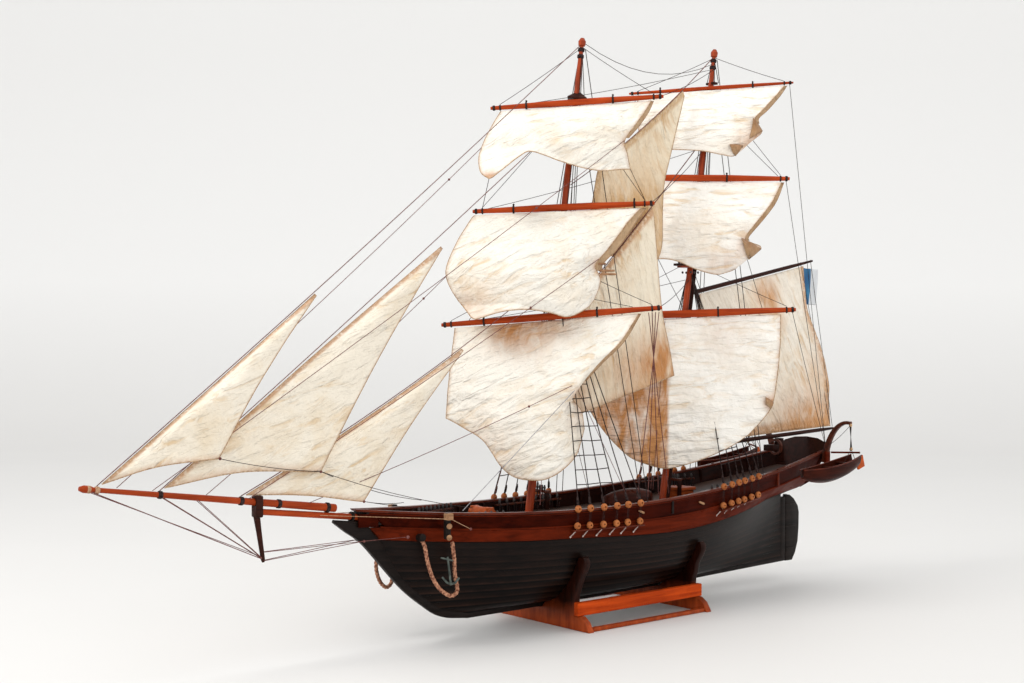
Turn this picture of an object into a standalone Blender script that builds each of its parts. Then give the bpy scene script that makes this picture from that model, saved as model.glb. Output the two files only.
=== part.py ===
"""Two-masted square-rigged ship model on its wooden cradle, as separate solids.

Metres, +Z up, bow towards +X, port towards +Y, floor at z = 0. Ship coordinates
count x from the transom rail towards the bow; the empty "ship" puts the middle of
the whole model at x = 0.
"""
import math

import bmesh
import bpy
from mathutils import Matrix, Vector

# Main sizes of the model
HULL_LENGTH = 0.650
HALF_BEAM = 0.0653
WIDEST_X = 0.323
MIDDLE_X = 0.4275
GAP = 0.0003

# Sheer of the rail, and the two coloured bands under it
SHEER_LOW_X = 0.411
SHEER_LOW_Z = 0.1198
BOW_RISE = 0.0115
STERN_RISE = 0.0373
UPPER_BAND = 0.0165
LOWER_BAND = 0.0113
UPPER_BAND_GROWTH = 0.0038
LOWER_BAND_GROWTH = 0.0045
BULWARK_THICK = 0.0030
RAIL_THICK = 0.0022
RAIL_OUT = 0.0015
RAIL_IN = 0.0050
WALE_PROUD = 0.0008
DECK_THICK = 0.0023

# Keel, stem and stern
KEEL_FORE = (0.520, 0.0161)
KEEL_AFT_X = 0.0398
KEEL_AFT_RISE = 0.0085
KEEL_DEPTH = 0.0062
STEM_HALF = 0.0030
STEM_CURVE = ((0.5200, 0.0161), (0.5520, 0.0212), (0.5760, 0.0355), (0.5990, 0.0535),
              (0.6220, 0.0772), (0.6440, 0.0997), (0.6610, 0.1112), (0.6736, 0.1203))
RABBET_CURVE = ((0.5195, 0.0224), (0.5497, 0.0278), (0.5720, 0.0413), (0.5943, 0.0587),
                (0.6115, 0.0800), (0.6238, 0.1003))
BOW_RAKE = 0.93
TUCK_Z = 0.1045
TRANSOM_FOOT_Z = 0.1130
TRANSOM_RAKE = 0.66
TRANSOM_TOP_X = 0.0055
TRANSOM_TOP_Z = 0.1570
TRANSOM_HALF = 0.0340
TRANSOM_THICK = 0.0035
RUDDER_THICK = 0.0046
RUDDER_AXIS_X = 0.0368

# Masts: ship x at a height, and how far each leans aft for one unit of height
FORE_X = 0.4395
FORE_Z = 0.1164
FORE_RAKE = 0.151
MAIN_X = 0.2466
MAIN_Z = 0.1129
MAIN_RAKE = 0.168
FORE_TOP_Z = 0.3600
MAIN_TOP_Z = 0.3675
FORE_CROSSTREE_Z = 0.5345
MAIN_CROSSTREE_Z = 0.5740
FORE_TRUCK_Z = 0.5970
MAIN_TRUCK_Z = 0.6126
TRYSAIL_BEHIND = 0.0078
TRYSAIL_RADIUS = 0.0022

# Yards stand turned this far from square across, port ends aft
BRACE = math.radians(45)
SAIL_THICK = 0.0010
BLOWN_FORWARD = 0.85

# The two cradle frames
FRAME_THICK = 0.0075
FORE_FRAME_X = 0.4220
AFT_FRAME_X = 0.2524
PLANK_LOW_Z = 0.0145
PLANK_HIGH_Z = 0.0275
PLANK_IN_Y = 0.0525
PLANK_OUT_Y = 0.0590

STATIONS = 34
LEVELS = (0.0, 0.04, 0.10, 0.18, 0.28, 0.40, 0.52, 0.64, 0.74, 0.82, 0.88, 0.93, 0.97, 1.0)


def clear_scene():
    """Empty the file of whatever it opened with."""
    for obj in list(bpy.data.objects):
        bpy.data.objects.remove(obj, do_unlink=True)


def new_collection(name):
    """A collection linked to the scene."""
    collection = bpy.data.collections.new(name)
    bpy.context.scene.collection.children.link(collection)
    return collection


def material(name, colour, roughness, metallic=0.0):
    """A plain Principled material."""
    mat = bpy.data.materials.new(name)
    mat.use_nodes = True
    shader = mat.node_tree.nodes["Principled BSDF"]
    shader.inputs["Base Color"].default_value = (*colour, 1.0)
    shader.inputs["Roughness"].default_value = roughness
    shader.inputs["Metallic"].default_value = metallic
    mat.diffuse_color = (*colour, 1.0)
    return mat


clear_scene()
PARTS = new_collection("tall_ship_model")
CUTTERS = new_collection("cutters")
SHIP = bpy.data.objects.new("ship", None)
SHIP.location = (-MIDDLE_X, 0.0, 0.0)
PARTS.objects.link(SHIP)

BLACK = material("hull_black", (0.022, 0.016, 0.013), 0.42)
BAND = material("band_red_brown", (0.19, 0.050, 0.026), 0.35)
MAHOGANY = material("bulwark_mahogany", (0.10, 0.022, 0.012), 0.35)
SPAR = material("spar_orange_red", (0.38, 0.062, 0.022), 0.38)
DARK_SPAR = material("spar_dark_brown", (0.060, 0.020, 0.013), 0.42)
DECKING = material("deck_brown", (0.16, 0.075, 0.035), 0.55)
CRADLE = material("cradle_orange_red", (0.36, 0.085, 0.022), 0.30)
CLOTH = material("sail_linen", (0.80, 0.72, 0.60), 0.90)
ROPE = material("stay_cord", (0.14, 0.06, 0.05), 0.85)
IRON = material("anchor_metal", (0.25, 0.28, 0.26), 0.45, 0.8)
COPPER_CORD = material("cable_copper_cord", (0.50, 0.27, 0.18), 0.60)
FLAG_CLOTH = material("flag_blue_white", (0.10, 0.25, 0.45), 0.85)


def clamp(value, low=0.0, high=1.0):
    """Value kept between low and high."""
    return max(low, min(high, value))


def ease(start, end, value):
    """Smooth step from 0 at start to 1 at end; start may be the larger."""
    t = clamp((value - start) / (end - start))
    return t * t * (3.0 - 2.0 * t)


def along(points, value, axis=0):
    """Linear reading of the other coordinate of a rising 2D polyline at value."""
    other = 1 - axis
    for low, high in zip(points, points[1:]):
        if value <= high[axis]:
            break
    t = (value - low[axis]) / (high[axis] - low[axis])
    return low[other] + t * (high[other] - low[other])


def smooth_path(points, steps):
    """Points of a Catmull-Rom curve through the given points, steps to each span."""
    pts = [Vector(p) for p in points]
    ends = [2 * pts[0] - pts[1]] + pts + [2 * pts[-1] - pts[-2]]
    path = []
    for a, b, c, d in zip(ends, ends[1:], ends[2:], ends[3:]):
        for k in range(steps):
            t = k / steps
            path.append(0.5 * (2 * b + (c - a) * t + (2 * a - 5 * b + 4 * c - d) * t ** 2
                               + (3 * b - a - 3 * c + d) * t ** 3))
    path.append(pts[-1])
    return path


def resample(points, count):
    """The same polyline, as count points evenly spaced along it."""
    pts = [Vector(p) for p in points]
    spans = [(b - a).length for a, b in zip(pts, pts[1:])]
    total = sum(spans)
    result = []
    for k in range(count):
        left = total * k / (count - 1)
        index = 0
        while index < len(spans) - 1 and left > spans[index]:
            left -= spans[index]
            index += 1
        result.append(pts[index].lerp(pts[index + 1], clamp(left / spans[index])))
    return result


# Hull shape


def rail_height(x):
    """Top of the cap rail."""
    if x > SHEER_LOW_X:
        return SHEER_LOW_Z + BOW_RISE * ((x - SHEER_LOW_X) / (HULL_LENGTH - SHEER_LOW_X)) ** 2
    return SHEER_LOW_Z + STERN_RISE * ((SHEER_LOW_X - x) / SHEER_LOW_X) ** 2


def bulwark_foot(x):
    """Lower edge of the upper band, where the deck lies."""
    return rail_height(x) - UPPER_BAND - UPPER_BAND_GROWTH * ease(0.45, 0.25, x)


def wale_foot(x):
    """Lower edge of the lower band."""
    return bulwark_foot(x) - LOWER_BAND - LOWER_BAND_GROWTH * ease(0.45, 0.25, x)


def keel_bottom(x):
    """Underside of the keel, rising a little towards the stern."""
    run = clamp((KEEL_FORE[0] - x) / (KEEL_FORE[0] - KEEL_AFT_X))
    return KEEL_FORE[1] + KEEL_AFT_RISE * run ** 1.8


def bow_end(z):
    """Ship x at which the planking meets the stem, for a height."""
    if z < RABBET_CURVE[0][1]:
        return RABBET_CURVE[0][0]
    if z < RABBET_CURVE[-1][1]:
        return along(RABBET, z, axis=1)
    return RABBET_CURVE[-1][0] + BOW_RAKE * (z - RABBET_CURVE[-1][1])


def stern_end(z):
    """Ship x at which the planking ends aft, for a height."""
    post = KEEL_AFT_X + 0.0084
    if z < TUCK_Z:
        return post
    transom = TRANSOM_TOP_X + TRANSOM_RAKE * (TRANSOM_TOP_Z - max(z, TRANSOM_FOOT_Z))
    if z < TRANSOM_FOOT_Z:
        return post + (transom - post) * (z - TUCK_Z) / (TRANSOM_FOOT_Z - TUCK_Z)
    return transom


def stern_half(z):
    """Half breadth at the aft end of the planking, for a height."""
    shape = ((0.0, STEM_HALF), (TUCK_Z, STEM_HALF), (TRANSOM_FOOT_Z, 0.020), (0.121, 0.0285),
             (TRANSOM_TOP_Z, TRANSOM_HALF), (0.2, 0.036))
    return along(shape, z)


def half_breadth(x, z, level=1.0):
    """Half breadth of the planking; level runs from 0 at the keel to 1 at the wale."""
    fullness = (1.0 - (1.0 - level) ** 1.55) ** 0.5 if level < 1.0 else 1.0
    widest = STEM_HALF + (HALF_BEAM - STEM_HALF) * fullness
    if x > WIDEST_X:
        run = clamp((x - WIDEST_X) / (bow_end(z) - WIDEST_X))
        return STEM_HALF + (widest - STEM_HALF) * (1.0 - run ** 2.4) ** (1.25 - 0.25 * level)
    run = clamp((WIDEST_X - x) / (WIDEST_X - stern_end(z)))
    end = min(stern_half(z), widest)
    return end + (widest - end) * (1.0 - run ** 2.2) ** (2.2 - 1.2 * level)


def on_hull(station, height):
    """Ship x and z at a share of the length, where z follows a height function of x."""
    x = HULL_LENGTH * station
    for _ in range(12):
        z = height(x)
        x = stern_end(z) + station * (bow_end(z) - stern_end(z))
    return x, z


def stations(first=0.0, last=1.0, count=STATIONS):
    """Shares of the length, closer together towards both ends."""
    spread = [0.5 - 0.5 * math.cos(math.pi * k / count) for k in range(count + 1)]
    return [first + (last - first) * value for value in spread]


RABBET = [tuple(p) for p in smooth_path(RABBET_CURVE, 5)]
STEM = [tuple(p) for p in smooth_path(STEM_CURVE, 5)]


# Makers of shapes


def place(obj, mat, parent=SHIP, collection=PARTS):
    """Give an object its material, collection and parent."""
    obj.data.materials.append(mat)
    collection.objects.link(obj)
    obj.parent = parent
    return obj


def mesh_object(name, bm, mat, parent=SHIP, smooth=True):
    """Turn a bmesh into a named object with its faces pointing out."""
    bmesh.ops.recalc_face_normals(bm, faces=bm.faces)
    mesh = bpy.data.meshes.new(name)
    bm.to_mesh(mesh)
    bm.free()
    obj = place(bpy.data.objects.new(name, mesh), mat, parent)
    if smooth:
        mesh.shade_smooth()
        mesh.set_sharp_from_angle(angle=math.radians(35))
    return obj


def loft(name, rings, mat, parent=SHIP):
    """A closed solid through rings of equal count, capped in strips across each end."""
    bm = bmesh.new()
    loops = [[bm.verts.new(point) for point in ring] for ring in rings]
    count = len(rings[0])
    for low, high in zip(loops, loops[1:]):
        for k in range(count):
            nxt = (k + 1) % count
            bm.faces.new((low[k], low[nxt], high[nxt], high[k]))
    for loop in (loops[0], loops[-1]):
        for k in range(count // 2 - 1):
            bm.faces.new((loop[k], loop[k + 1], loop[count - 2 - k], loop[count - 1 - k]))
    return mesh_object(name, bm, mat, parent)


def turned(name, start, end, profile, mat, parent=SHIP, steps=12):
    """A turned spar from start to end; profile holds (share of length, radius) pairs."""
    axis = Vector(end) - Vector(start)
    length = axis.length
    mesh = bpy.data.meshes.new(name)
    rows = [(0.0, 0.0, length)]
    rows += [(radius, 0.0, length * share) for share, radius in reversed(profile)]
    rows += [(0.0, 0.0, 0.0)]
    mesh.from_pydata(rows, [(k, k + 1) for k in range(len(rows) - 1)], [])
    obj = place(bpy.data.objects.new(name, mesh), mat, parent)
    obj.location = start
    obj.rotation_euler = axis.to_track_quat("Z", "Y").to_euler()
    screw = obj.modifiers.new("turn", "SCREW")
    screw.steps = steps
    screw.render_steps = steps
    screw.use_merge_vertices = True
    screw.merge_threshold = 0.00001
    return obj


def board(name, outline, thick, mat, parent=SHIP, across="Y", centre=0.0):
    """A flat board from a 2D outline: in the x-z plane (across Y) or the y-z plane (across X)."""
    curve = bpy.data.curves.new(name, "CURVE")
    curve.dimensions = "2D"
    curve.fill_mode = "BOTH"
    curve.extrude = thick / 2
    spline = curve.splines.new("POLY")
    spline.points.add(len(outline) - 1)
    for point, (a, b) in zip(spline.points, outline):
        point.co = (a, b, 0.0, 1.0)
    spline.use_cyclic_u = True
    obj = place(bpy.data.objects.new(name, curve), mat, parent)
    if across == "Y":
        obj.rotation_euler = (math.pi / 2, 0.0, 0.0)
        obj.location = (0.0, centre, 0.0)
    else:
        obj.rotation_euler = (math.pi / 2, 0.0, math.pi / 2)
        obj.location = (centre, 0.0, 0.0)
    return obj


def box(name, low, high, mat, parent=SHIP, bevel=0.0):
    """A straight box between two corners, its edges bevelled."""
    bm = bmesh.new()
    bmesh.ops.create_cube(bm, size=1.0)
    size = Vector(high) - Vector(low)
    bmesh.ops.scale(bm, vec=size, verts=bm.verts)
    bmesh.ops.translate(bm, vec=(Vector(high) + Vector(low)) / 2, verts=bm.verts)
    if bevel:
        bmesh.ops.bevel(bm, geom=bm.edges[:], offset=bevel, segments=1, profile=0.5,
                        affect="EDGES", material=-1)
    return mesh_object(name, bm, mat, parent, smooth=False)


def wire(name, points, radius, mat, parent=SHIP, steps=1, resolution=2):
    """A round cord or rod along points, as a curve with filled caps."""
    path = smooth_path(points, steps) if steps > 1 else [Vector(p) for p in points]
    curve = bpy.data.curves.new(name, "CURVE")
    curve.dimensions = "3D"
    curve.bevel_depth = radius
    curve.bevel_resolution = resolution
    curve.use_fill_caps = True
    spline = curve.splines.new("POLY")
    spline.points.add(len(path) - 1)
    for point, co in zip(spline.points, path):
        point.co = (*co, 1.0)
    return place(bpy.data.objects.new(name, curve), mat, parent)


def sheet(name, rows, mat, parent=SHIP, thick=SAIL_THICK):
    """A sail as a grid of points with its cloth thickness."""
    across = len(rows[0])
    bm = bmesh.new()
    bmesh.ops.create_grid(bm, x_segments=across - 1, y_segments=len(rows) - 1, size=0.5)
    for vert in bm.verts:
        column = round((vert.co.x + 0.5) * (across - 1))
        row = round((vert.co.y + 0.5) * (len(rows) - 1))
        vert.co = rows[row][column]
    mesh = bpy.data.meshes.new(name)
    bm.to_mesh(mesh)
    bm.free()
    mesh.shade_smooth()
    obj = place(bpy.data.objects.new(name, mesh), mat, parent)
    solid = obj.modifiers.new("cloth_thickness", "SOLIDIFY")
    solid.thickness = thick
    solid.offset = 0.0
    return obj


def patch(head, foot, left, right, across=7, down=7):
    """Rows of points of a Coons patch between four edges that share their corners."""
    top = resample(head, across)
    bottom = resample(foot, across)
    one = resample(left, down)
    two = resample(right, down)
    rows = []
    for j in range(down):
        t = j / (down - 1)
        row = []
        for i in range(across):
            s = i / (across - 1)
            ruled = top[i] * (1 - t) + bottom[i] * t + one[j] * (1 - s) + two[j] * s
            corner = (top[0] * (1 - s) + top[-1] * s) * (1 - t)
            corner += (bottom[0] * (1 - s) + bottom[-1] * s) * t
            row.append(ruled - corner)
        rows.append(row)
    return rows


def realise(obj):
    """Replace a curve object by its mesh, its loose caps welded."""
    graph = bpy.context.evaluated_depsgraph_get()
    mesh = bpy.data.meshes.new_from_object(obj.evaluated_get(graph))
    name = obj.name
    bm = bmesh.new()
    bm.from_mesh(mesh)
    bmesh.ops.remove_doubles(bm, verts=bm.verts, dist=0.000001)
    bm.to_mesh(mesh)
    bm.free()
    solid = bpy.data.objects.new(name + "_mesh", mesh)
    for collection in obj.users_collection:
        collection.objects.link(solid)
    solid.parent = obj.parent
    solid.matrix_basis = obj.matrix_basis
    bpy.data.objects.remove(obj, do_unlink=True)
    solid.name = name
    return solid


def combine(obj, others, operation):
    """Join others to obj, or cut them from it; the others stay as hidden tools."""
    for k, other in enumerate(others):
        change = obj.modifiers.new(f"{operation.lower()}_{k}", "BOOLEAN")
        change.operation = operation
        change.solver = "EXACT"
        change.object = other
        other.hide_render = True
        other.display_type = "WIRE"
        for collection in list(other.users_collection):
            collection.objects.unlink(other)
        CUTTERS.objects.link(other)
    return obj


# Hull


def hull_body():
    """The black planked hull up to the lower band, solid inside."""
    rings = []
    for station in stations():
        port = []
        for level in LEVELS:
            def height(x, level=level):
                low = keel_bottom(x) + KEEL_DEPTH
                return low + level * (wale_foot(x) - GAP - low)
            x, z = on_hull(station, height)
            port.append((x, half_breadth(x, z, level), z))
        rings.append(port + [(x, -y, z) for x, y, z in reversed(port)])
    return loft("hull_body", rings, BLACK)


def wale_band():
    """The lower red band, a full slab under the deck."""
    rings = []
    for station in stations(0.0, 0.9995):
        port = []
        for height in (wale_foot, lambda x: bulwark_foot(x) - GAP):
            x, z = on_hull(station, height)
            port.append((x, half_breadth(x, z) + WALE_PROUD, z))
        rings.append(port + [(x, -y, z) for x, y, z in reversed(port)])
    return loft("wale_band", rings, BAND)


def deck():
    """The deck between the bulwarks."""
    rings = []
    for station in stations(0.0, 0.975):
        port = []
        for height in (bulwark_foot, lambda x: bulwark_foot(x) + DECK_THICK):
            x, z = on_hull(station, height)
            port.append((x, max(half_breadth(x, z) - BULWARK_THICK - 3 * GAP, 0.001), z))
        rings.append(port + [(x, -y, z) for x, y, z in reversed(port)])
    return loft("deck", rings, DECKING)


def deck_top(x):
    """Height of the deck's upper face."""
    return bulwark_foot(x) + DECK_THICK


def bulwark(name, side):
    """The upper band on one side, from the deck to the rail."""
    rings = []
    for station in stations(0.0, 0.978):
        ring = []
        for height in (bulwark_foot, lambda x: rail_height(x) - RAIL_THICK - GAP):
            x, z = on_hull(station, height)
            ring.append((x, side * half_breadth(x, z), z))
        for height in (lambda x: rail_height(x) - RAIL_THICK - GAP, bulwark_foot):
            x, z = on_hull(station, height)
            ring.append((x, side * (half_breadth(x, z) - BULWARK_THICK), z))
        rings.append(ring)
    return loft(name, rings, MAHOGANY)


def cap_rail(name, side):
    """The cap on one bulwark, ending beside the other above the stem."""
    rings = []
    for station in stations():
        x, z = on_hull(station, rail_height)
        low_x, low_z = on_hull(station, lambda x: rail_height(x) - RAIL_THICK)
        y = half_breadth(x, z)
        inner = max(y - RAIL_IN, GAP)
        ring = [(low_x, side * inner, low_z), (low_x, side * (y + RAIL_OUT), low_z),
                (x, side * (y + RAIL_OUT), z), (x, side * inner, z)]
        rings.append(ring)
    return loft(name, rings, MAHOGANY)


def keel():
    """Sternpost, keel and raking stem with its beak, in one outline."""
    bottom = [(x, keel_bottom(x)) for x in
              (KEEL_AFT_X + (KEEL_FORE[0] - KEEL_AFT_X) * k / 12 for k in range(12))]
    knee_top = [(0.6728, 0.1230), (bow_end(0.1160) + 0.0012, 0.1160)]
    rabbet = [(x + GAP, z - GAP) for x, z in reversed(RABBET)]
    top = [(x, keel_bottom(x) + KEEL_DEPTH - GAP) for x in
           (RABBET_CURVE[0][0] - (RABBET_CURVE[0][0] - 0.0479) * k / 12 for k in range(1, 13))]
    post = [(0.0477, TUCK_Z - 0.0045), (KEEL_AFT_X, TUCK_Z - 0.0040)]
    outline = bottom + STEM + knee_top + rabbet + top + post
    return board("keel", outline, 2 * STEM_HALF, BLACK)


def transom():
    """The raked transom with its crowned top."""
    lean = math.atan(TRANSOM_RAKE)
    side = [(0.0180, 0.1135), (0.0292, 0.1212), (0.0345, 0.1480), (0.0352, 0.1580),
            (0.0300, 0.1640), (0.0170, 0.1680), (0.0, 0.1692)]
    full = side + [(-y, z) for y, z in reversed(side[:-1])]
    outline = [(y, (z - TRANSOM_FOOT_Z) / math.cos(lean)) for y, z in full]
    obj = board("transom", outline, TRANSOM_THICK, MAHOGANY, across="X")
    foot = stern_end(TRANSOM_FOOT_Z) - (TRANSOM_THICK / 2 + GAP) / math.cos(lean)
    obj.matrix_basis = (Matrix.Translation((foot, 0.0, TRANSOM_FOOT_Z))
                        @ Matrix.Rotation(-lean, 4, "Y")
                        @ Matrix.Rotation(math.pi / 2, 4, "Z") @ Matrix.Rotation(math.pi / 2, 4, "X"))
    return obj


def rudder():
    """The hung rudder, its fore edge rounded about the pintles."""
    pivot = bpy.data.objects.new("rudder_axis", None)
    pivot.location = (RUDDER_AXIS_X, 0.0, 0.0)
    pivot.parent = SHIP
    PARTS.objects.link(pivot)
    low = keel_bottom(KEEL_AFT_X) - 0.0004
    outline = [(0.0, low), (0.0, 0.1030), (-0.0060, 0.1020), (-0.0140, 0.0970), (-0.0215, 0.0880),
               (-0.0236, 0.0800), (-0.0232, 0.0620), (-0.0216, 0.0460), (-0.0170, 0.0330),
               (-0.0110, low)]
    blade = realise(board("rudder", outline, RUDDER_THICK, BLACK, parent=pivot))
    stock = turned("rudder_stock", (0.0, 0.0, low), (0.0, 0.0, 0.1030),
                   ((0.0, RUDDER_THICK / 2), (1.0, RUDDER_THICK / 2)), BLACK, parent=pivot, steps=16)
    return combine(blade, [stock], "UNION")


# Spars


def fore_at(z, ahead=0.0):
    """A point on the foremast's axis, or ahead of it."""
    return (FORE_X - FORE_RAKE * (z - FORE_Z) + ahead, 0.0, z)


def main_at(z, ahead=0.0):
    """A point on the mainmast's axis, or ahead of it."""
    return (MAIN_X - MAIN_RAKE * (z - MAIN_Z) + ahead, 0.0, z)


def masts():
    """Lower masts with their tops, topmasts with their crosstrees, and the trysail mast."""
    for name, at, top_z, cross_z, truck_z, radius in (
            ("fore", fore_at, FORE_TOP_Z, FORE_CROSSTREE_Z, FORE_TRUCK_Z, 0.0042),
            ("main", main_at, MAIN_TOP_Z, MAIN_CROSSTREE_Z, MAIN_TRUCK_Z, 0.0038)):
        foot_z = deck_top(at(0.11)[0]) + 0.0010
        lower = turned(name + "_lower_mast", at(foot_z), at(top_z + 0.008),
                       ((0.0, radius), (0.92, radius * 0.90), (1.0, radius * 0.88)), SPAR)
        platform = box(name + "_top_platform", (at(top_z)[0] - 0.0105, -0.012, top_z - 0.0015),
                       (at(top_z)[0] + 0.0095, 0.012, top_z + 0.0015), DARK_SPAR, bevel=0.0008)
        combine(lower, [platform], "UNION")
        base_z = top_z + 0.008 + GAP + 0.0010
        topmast = turned(name + "_topmast", at(base_z), at(truck_z, 0.0030),
                         ((0.0, 0.0035), (0.5, 0.0033), (0.80, 0.0029), (0.965, 0.0021), (0.966, 0.0036),
                          (0.985, 0.0040), (1.0, 0.0020)), SPAR)
        trees = box(name + "_crosstree_block", (at(cross_z)[0] - 0.0080, -0.0090, cross_z - 0.0012),
                    (at(cross_z)[0] + 0.0085, 0.0090, cross_z + 0.0016), DARK_SPAR, bevel=0.0008)
        combine(topmast, [trees], "UNION")
    low_z = deck_top(0.24) + 0.0008
    turned("trysail_mast", main_at(low_z, -TRYSAIL_BEHIND), main_at(MAIN_TOP_Z - 0.0022, -TRYSAIL_BEHIND),
           ((0.0, TRYSAIL_RADIUS), (1.0, TRYSAIL_RADIUS)), DARK_SPAR, steps=10)


def bowsprit_axis(x):
    """Height of the bowsprit's axis."""
    return 0.1215 + 0.124 * (x - 0.6312)


def jib_boom_axis(x):
    """Height of the jib boom's axis."""
    return 0.1336 + 0.1375 * (x - 0.6716)


def jib_boom_radius(x):
    """The jib boom's radius, thick at its heel."""
    return 0.0037 - 0.0017 * clamp((x - 0.6716) / 0.24)


def bow_spars():
    """Bowsprit, jib boom, and the striker whose head caps the bowsprit."""
    turned("bowsprit", (0.598, 0.0, bowsprit_axis(0.598)), (0.7470, 0.0, bowsprit_axis(0.7470)),
           ((0.0, 0.0030), (0.5, 0.0032), (1.0, 0.0027)), SPAR)
    heel, tip = 0.6716, 0.9115
    turned("jib_boom", (heel, 0.0, jib_boom_axis(heel)), (tip, 0.0, jib_boom_axis(tip)),
           ((0.0, 0.0036), (0.004, 0.0037), (0.25, 0.0034), (0.95, 0.0020), (0.962, 0.0030),
            (0.985, 0.0031), (1.0, 0.0018)), SPAR)
    cap = box("dolphin_striker", (0.7475, -0.0048, 0.1315), (0.7545, 0.0048, 0.1503), DARK_SPAR,
              bevel=0.0010)
    spike = turned("striker_spike", (0.7518, 0.0, 0.1330), (0.7450, 0.0, 0.0922),
                   ((0.0, 0.0030), (0.35, 0.0024), (0.93, 0.0019), (1.0, 0.0012)), DARK_SPAR)
    combine(cap, [spike], "UNION")
    hole = turned("striker_hole", (0.7400, 0.0, jib_boom_axis(0.7400)), (0.7620, 0.0, jib_boom_axis(0.7620)),
                  ((0.0, 0.0037), (1.0, 0.0037)), DARK_SPAR, steps=16)
    combine(cap, [hole], "DIFFERENCE")


# Each yard: mast, height, length to starboard, length to port, rise to port, radius
YARDS = {
    "fore_course_yard": (fore_at, 0.3090, 0.1125, 0.1115, 0.083, 0.0037),
    "fore_topsail_yard": (fore_at, 0.4203, 0.0940, 0.0915, 0.044, 0.0036),
    "fore_topgallant_yard": (fore_at, 0.5290, 0.0890, 0.0887, 0.062, 0.0034),
    "main_course_yard": (main_at, 0.3144, 0.1205, 0.1205, 0.042, 0.0042),
    "main_topsail_yard": (main_at, 0.4657, 0.0975, 0.0970, -0.011, 0.0038),
    "main_topgallant_yard": (main_at, 0.5680, 0.0930, 0.0900, 0.060, 0.0023),
}
TO_PORT = Vector((-math.sin(BRACE), math.cos(BRACE), 0.0))
AHEAD = Vector((math.cos(BRACE), math.sin(BRACE), 0.0))
MAST_CLEAR = 0.0046
MAIN_COURSE_CLEAR = 0.0040


def yard_centre(name):
    """Middle of a yard, ahead of its mast."""
    at, z, _, _, _, radius = YARDS[name]
    clear = MAIN_COURSE_CLEAR if name == "main_course_yard" else MAST_CLEAR
    return Vector(at(z)) + AHEAD * (clear + radius)


def yards():
    """The six yards, tapered to both ends."""
    for name, (_, _, starboard, port, rise, radius) in YARDS.items():
        middle = yard_centre(name)
        along_yard = (TO_PORT + Vector((0.0, 0.0, rise))).normalized()
        turned(name, middle - along_yard * starboard, middle + along_yard * port,
               ((0.0, radius * 0.45), (0.02, radius * 0.62), (0.35, radius), (0.65, radius),
                (0.98, radius * 0.62), (1.0, radius * 0.45)), SPAR)


# Stays


STAY_RADIUS = 0.0006

# Each stay as (x, z) of its lower fore end, of its upper end, and its sag
STAYS = {
    "forestay": ((0.7671, jib_boom_axis(0.7671) + 0.0042), (fore_at(0.3520)[0] + 0.0056, 0.3520), 0.0090),
    "fore_topmast_stay": ((0.8423, jib_boom_axis(0.8423) + 0.0036),
                          (fore_at(0.5190)[0] + 0.0058, 0.5190), 0.0025),
    "fore_topgallant_stay": ((0.8967, jib_boom_axis(0.8967) + 0.0034),
                             (fore_at(0.5880)[0] + 0.0066, 0.5880), 0.0040),
    "main_topmast_stay": ((fore_at(0.296)[0] - 0.0052, 0.296), (main_at(0.508)[0] + 0.0060, 0.508), 0.0020),
    "main_topgallant_stay": ((fore_at(0.445)[0] - 0.0048, 0.445),
                             (main_at(0.602)[0] + 0.0058, 0.602), 0.0080),
}


def stay_point(name, t):
    """Ship x and z at a share of a sagging stay, from its lower end."""
    (low_x, low_z), (high_x, high_z), sag = STAYS[name]
    return low_x + (high_x - low_x) * t, low_z + (high_z - low_z) * t - 4 * sag * t * (1 - t)


def stay_height(name, x):
    """Height of a stay at ship x."""
    (low_x, _), (high_x, _), _ = STAYS[name]
    return stay_point(name, (x - low_x) / (high_x - low_x))[1]


def stay_x(name, z):
    """Ship x of a stay at a height."""
    low, high = 0.0, 1.0
    for _ in range(30):
        middle = (low + high) / 2
        if stay_point(name, middle)[1] < z:
            low = middle
        else:
            high = middle
    return stay_point(name, low)[0]


# Square sails


# Outlines in millimetres beside and below the yard's middle: yard, head ends, starboard leech,
# foot, port leech, belly, pull at the starboard and port leeches, and the stay the foot rides over
SQUARE_SAILS = {
    "fore_course": (
        "fore_course_yard", (-98, 88),
        ((-102, 60), (-105, 103)),
        ((-85, 114), (-64, 127), (-48, 147), (-28, 160), (-8, 161), (12, 153), (27, 137)),
        ((50, 44), (24, 77), (34, 112)), 24, 8, 10, None),
    "fore_topsail": (
        "fore_topsail_yard", (-91, 78),
        ((-110, 39), (-119, 68), (-108, 93), (-90, 113)),
        ((-78, 114), (-58, 107), (-33, 105), (4, 111), (24, 103)),
        ((56, 28), (33, 60), (36, 82)), 34, 10, 12, "forestay"),
    "fore_topgallant": (
        "fore_topgallant_yard", (-78, 76),
        ((-89, 29), (-97, 54), (-94, 76), (-84, 85)),
        ((-66, 70), (-46, 56), (-16, 64), (26, 71)),
        ((62, 22), (50, 42), (55, 70)), 28, 8, 10, "fore_topmast_stay"),
    "main_course": (
        "main_course_yard", (-104, 104),
        ((-104, 60), (-104, 105)),
        ((-97, 117), (-60, 156), (-22, 167), (15, 159), (50, 142)),
        ((100, 61), (94, 97), (68, 131)), 9, 4, 8, None),
    "main_topsail": (
        "main_topsail_yard", (-88, 88),
        ((-92, 40), (-86, 92)),
        ((-62, 92), (-41, 91), (-26, 94), (-8, 102), (14, 107), (34, 102)),
        ((68, 40), (48, 68), (50, 90)), 14, 6, 10, None),
    "main_topgallant": (
        "main_topgallant_yard", (-82, 80),
        ((-84, 30), (-78, 72)),
        ((-60, 70), (-40, 71), (-12, 73), (12, 76)),
        ((63, 18), (46, 37), (26, 77)), 12, 5, 10, "main_topmast_stay"),
}


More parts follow.
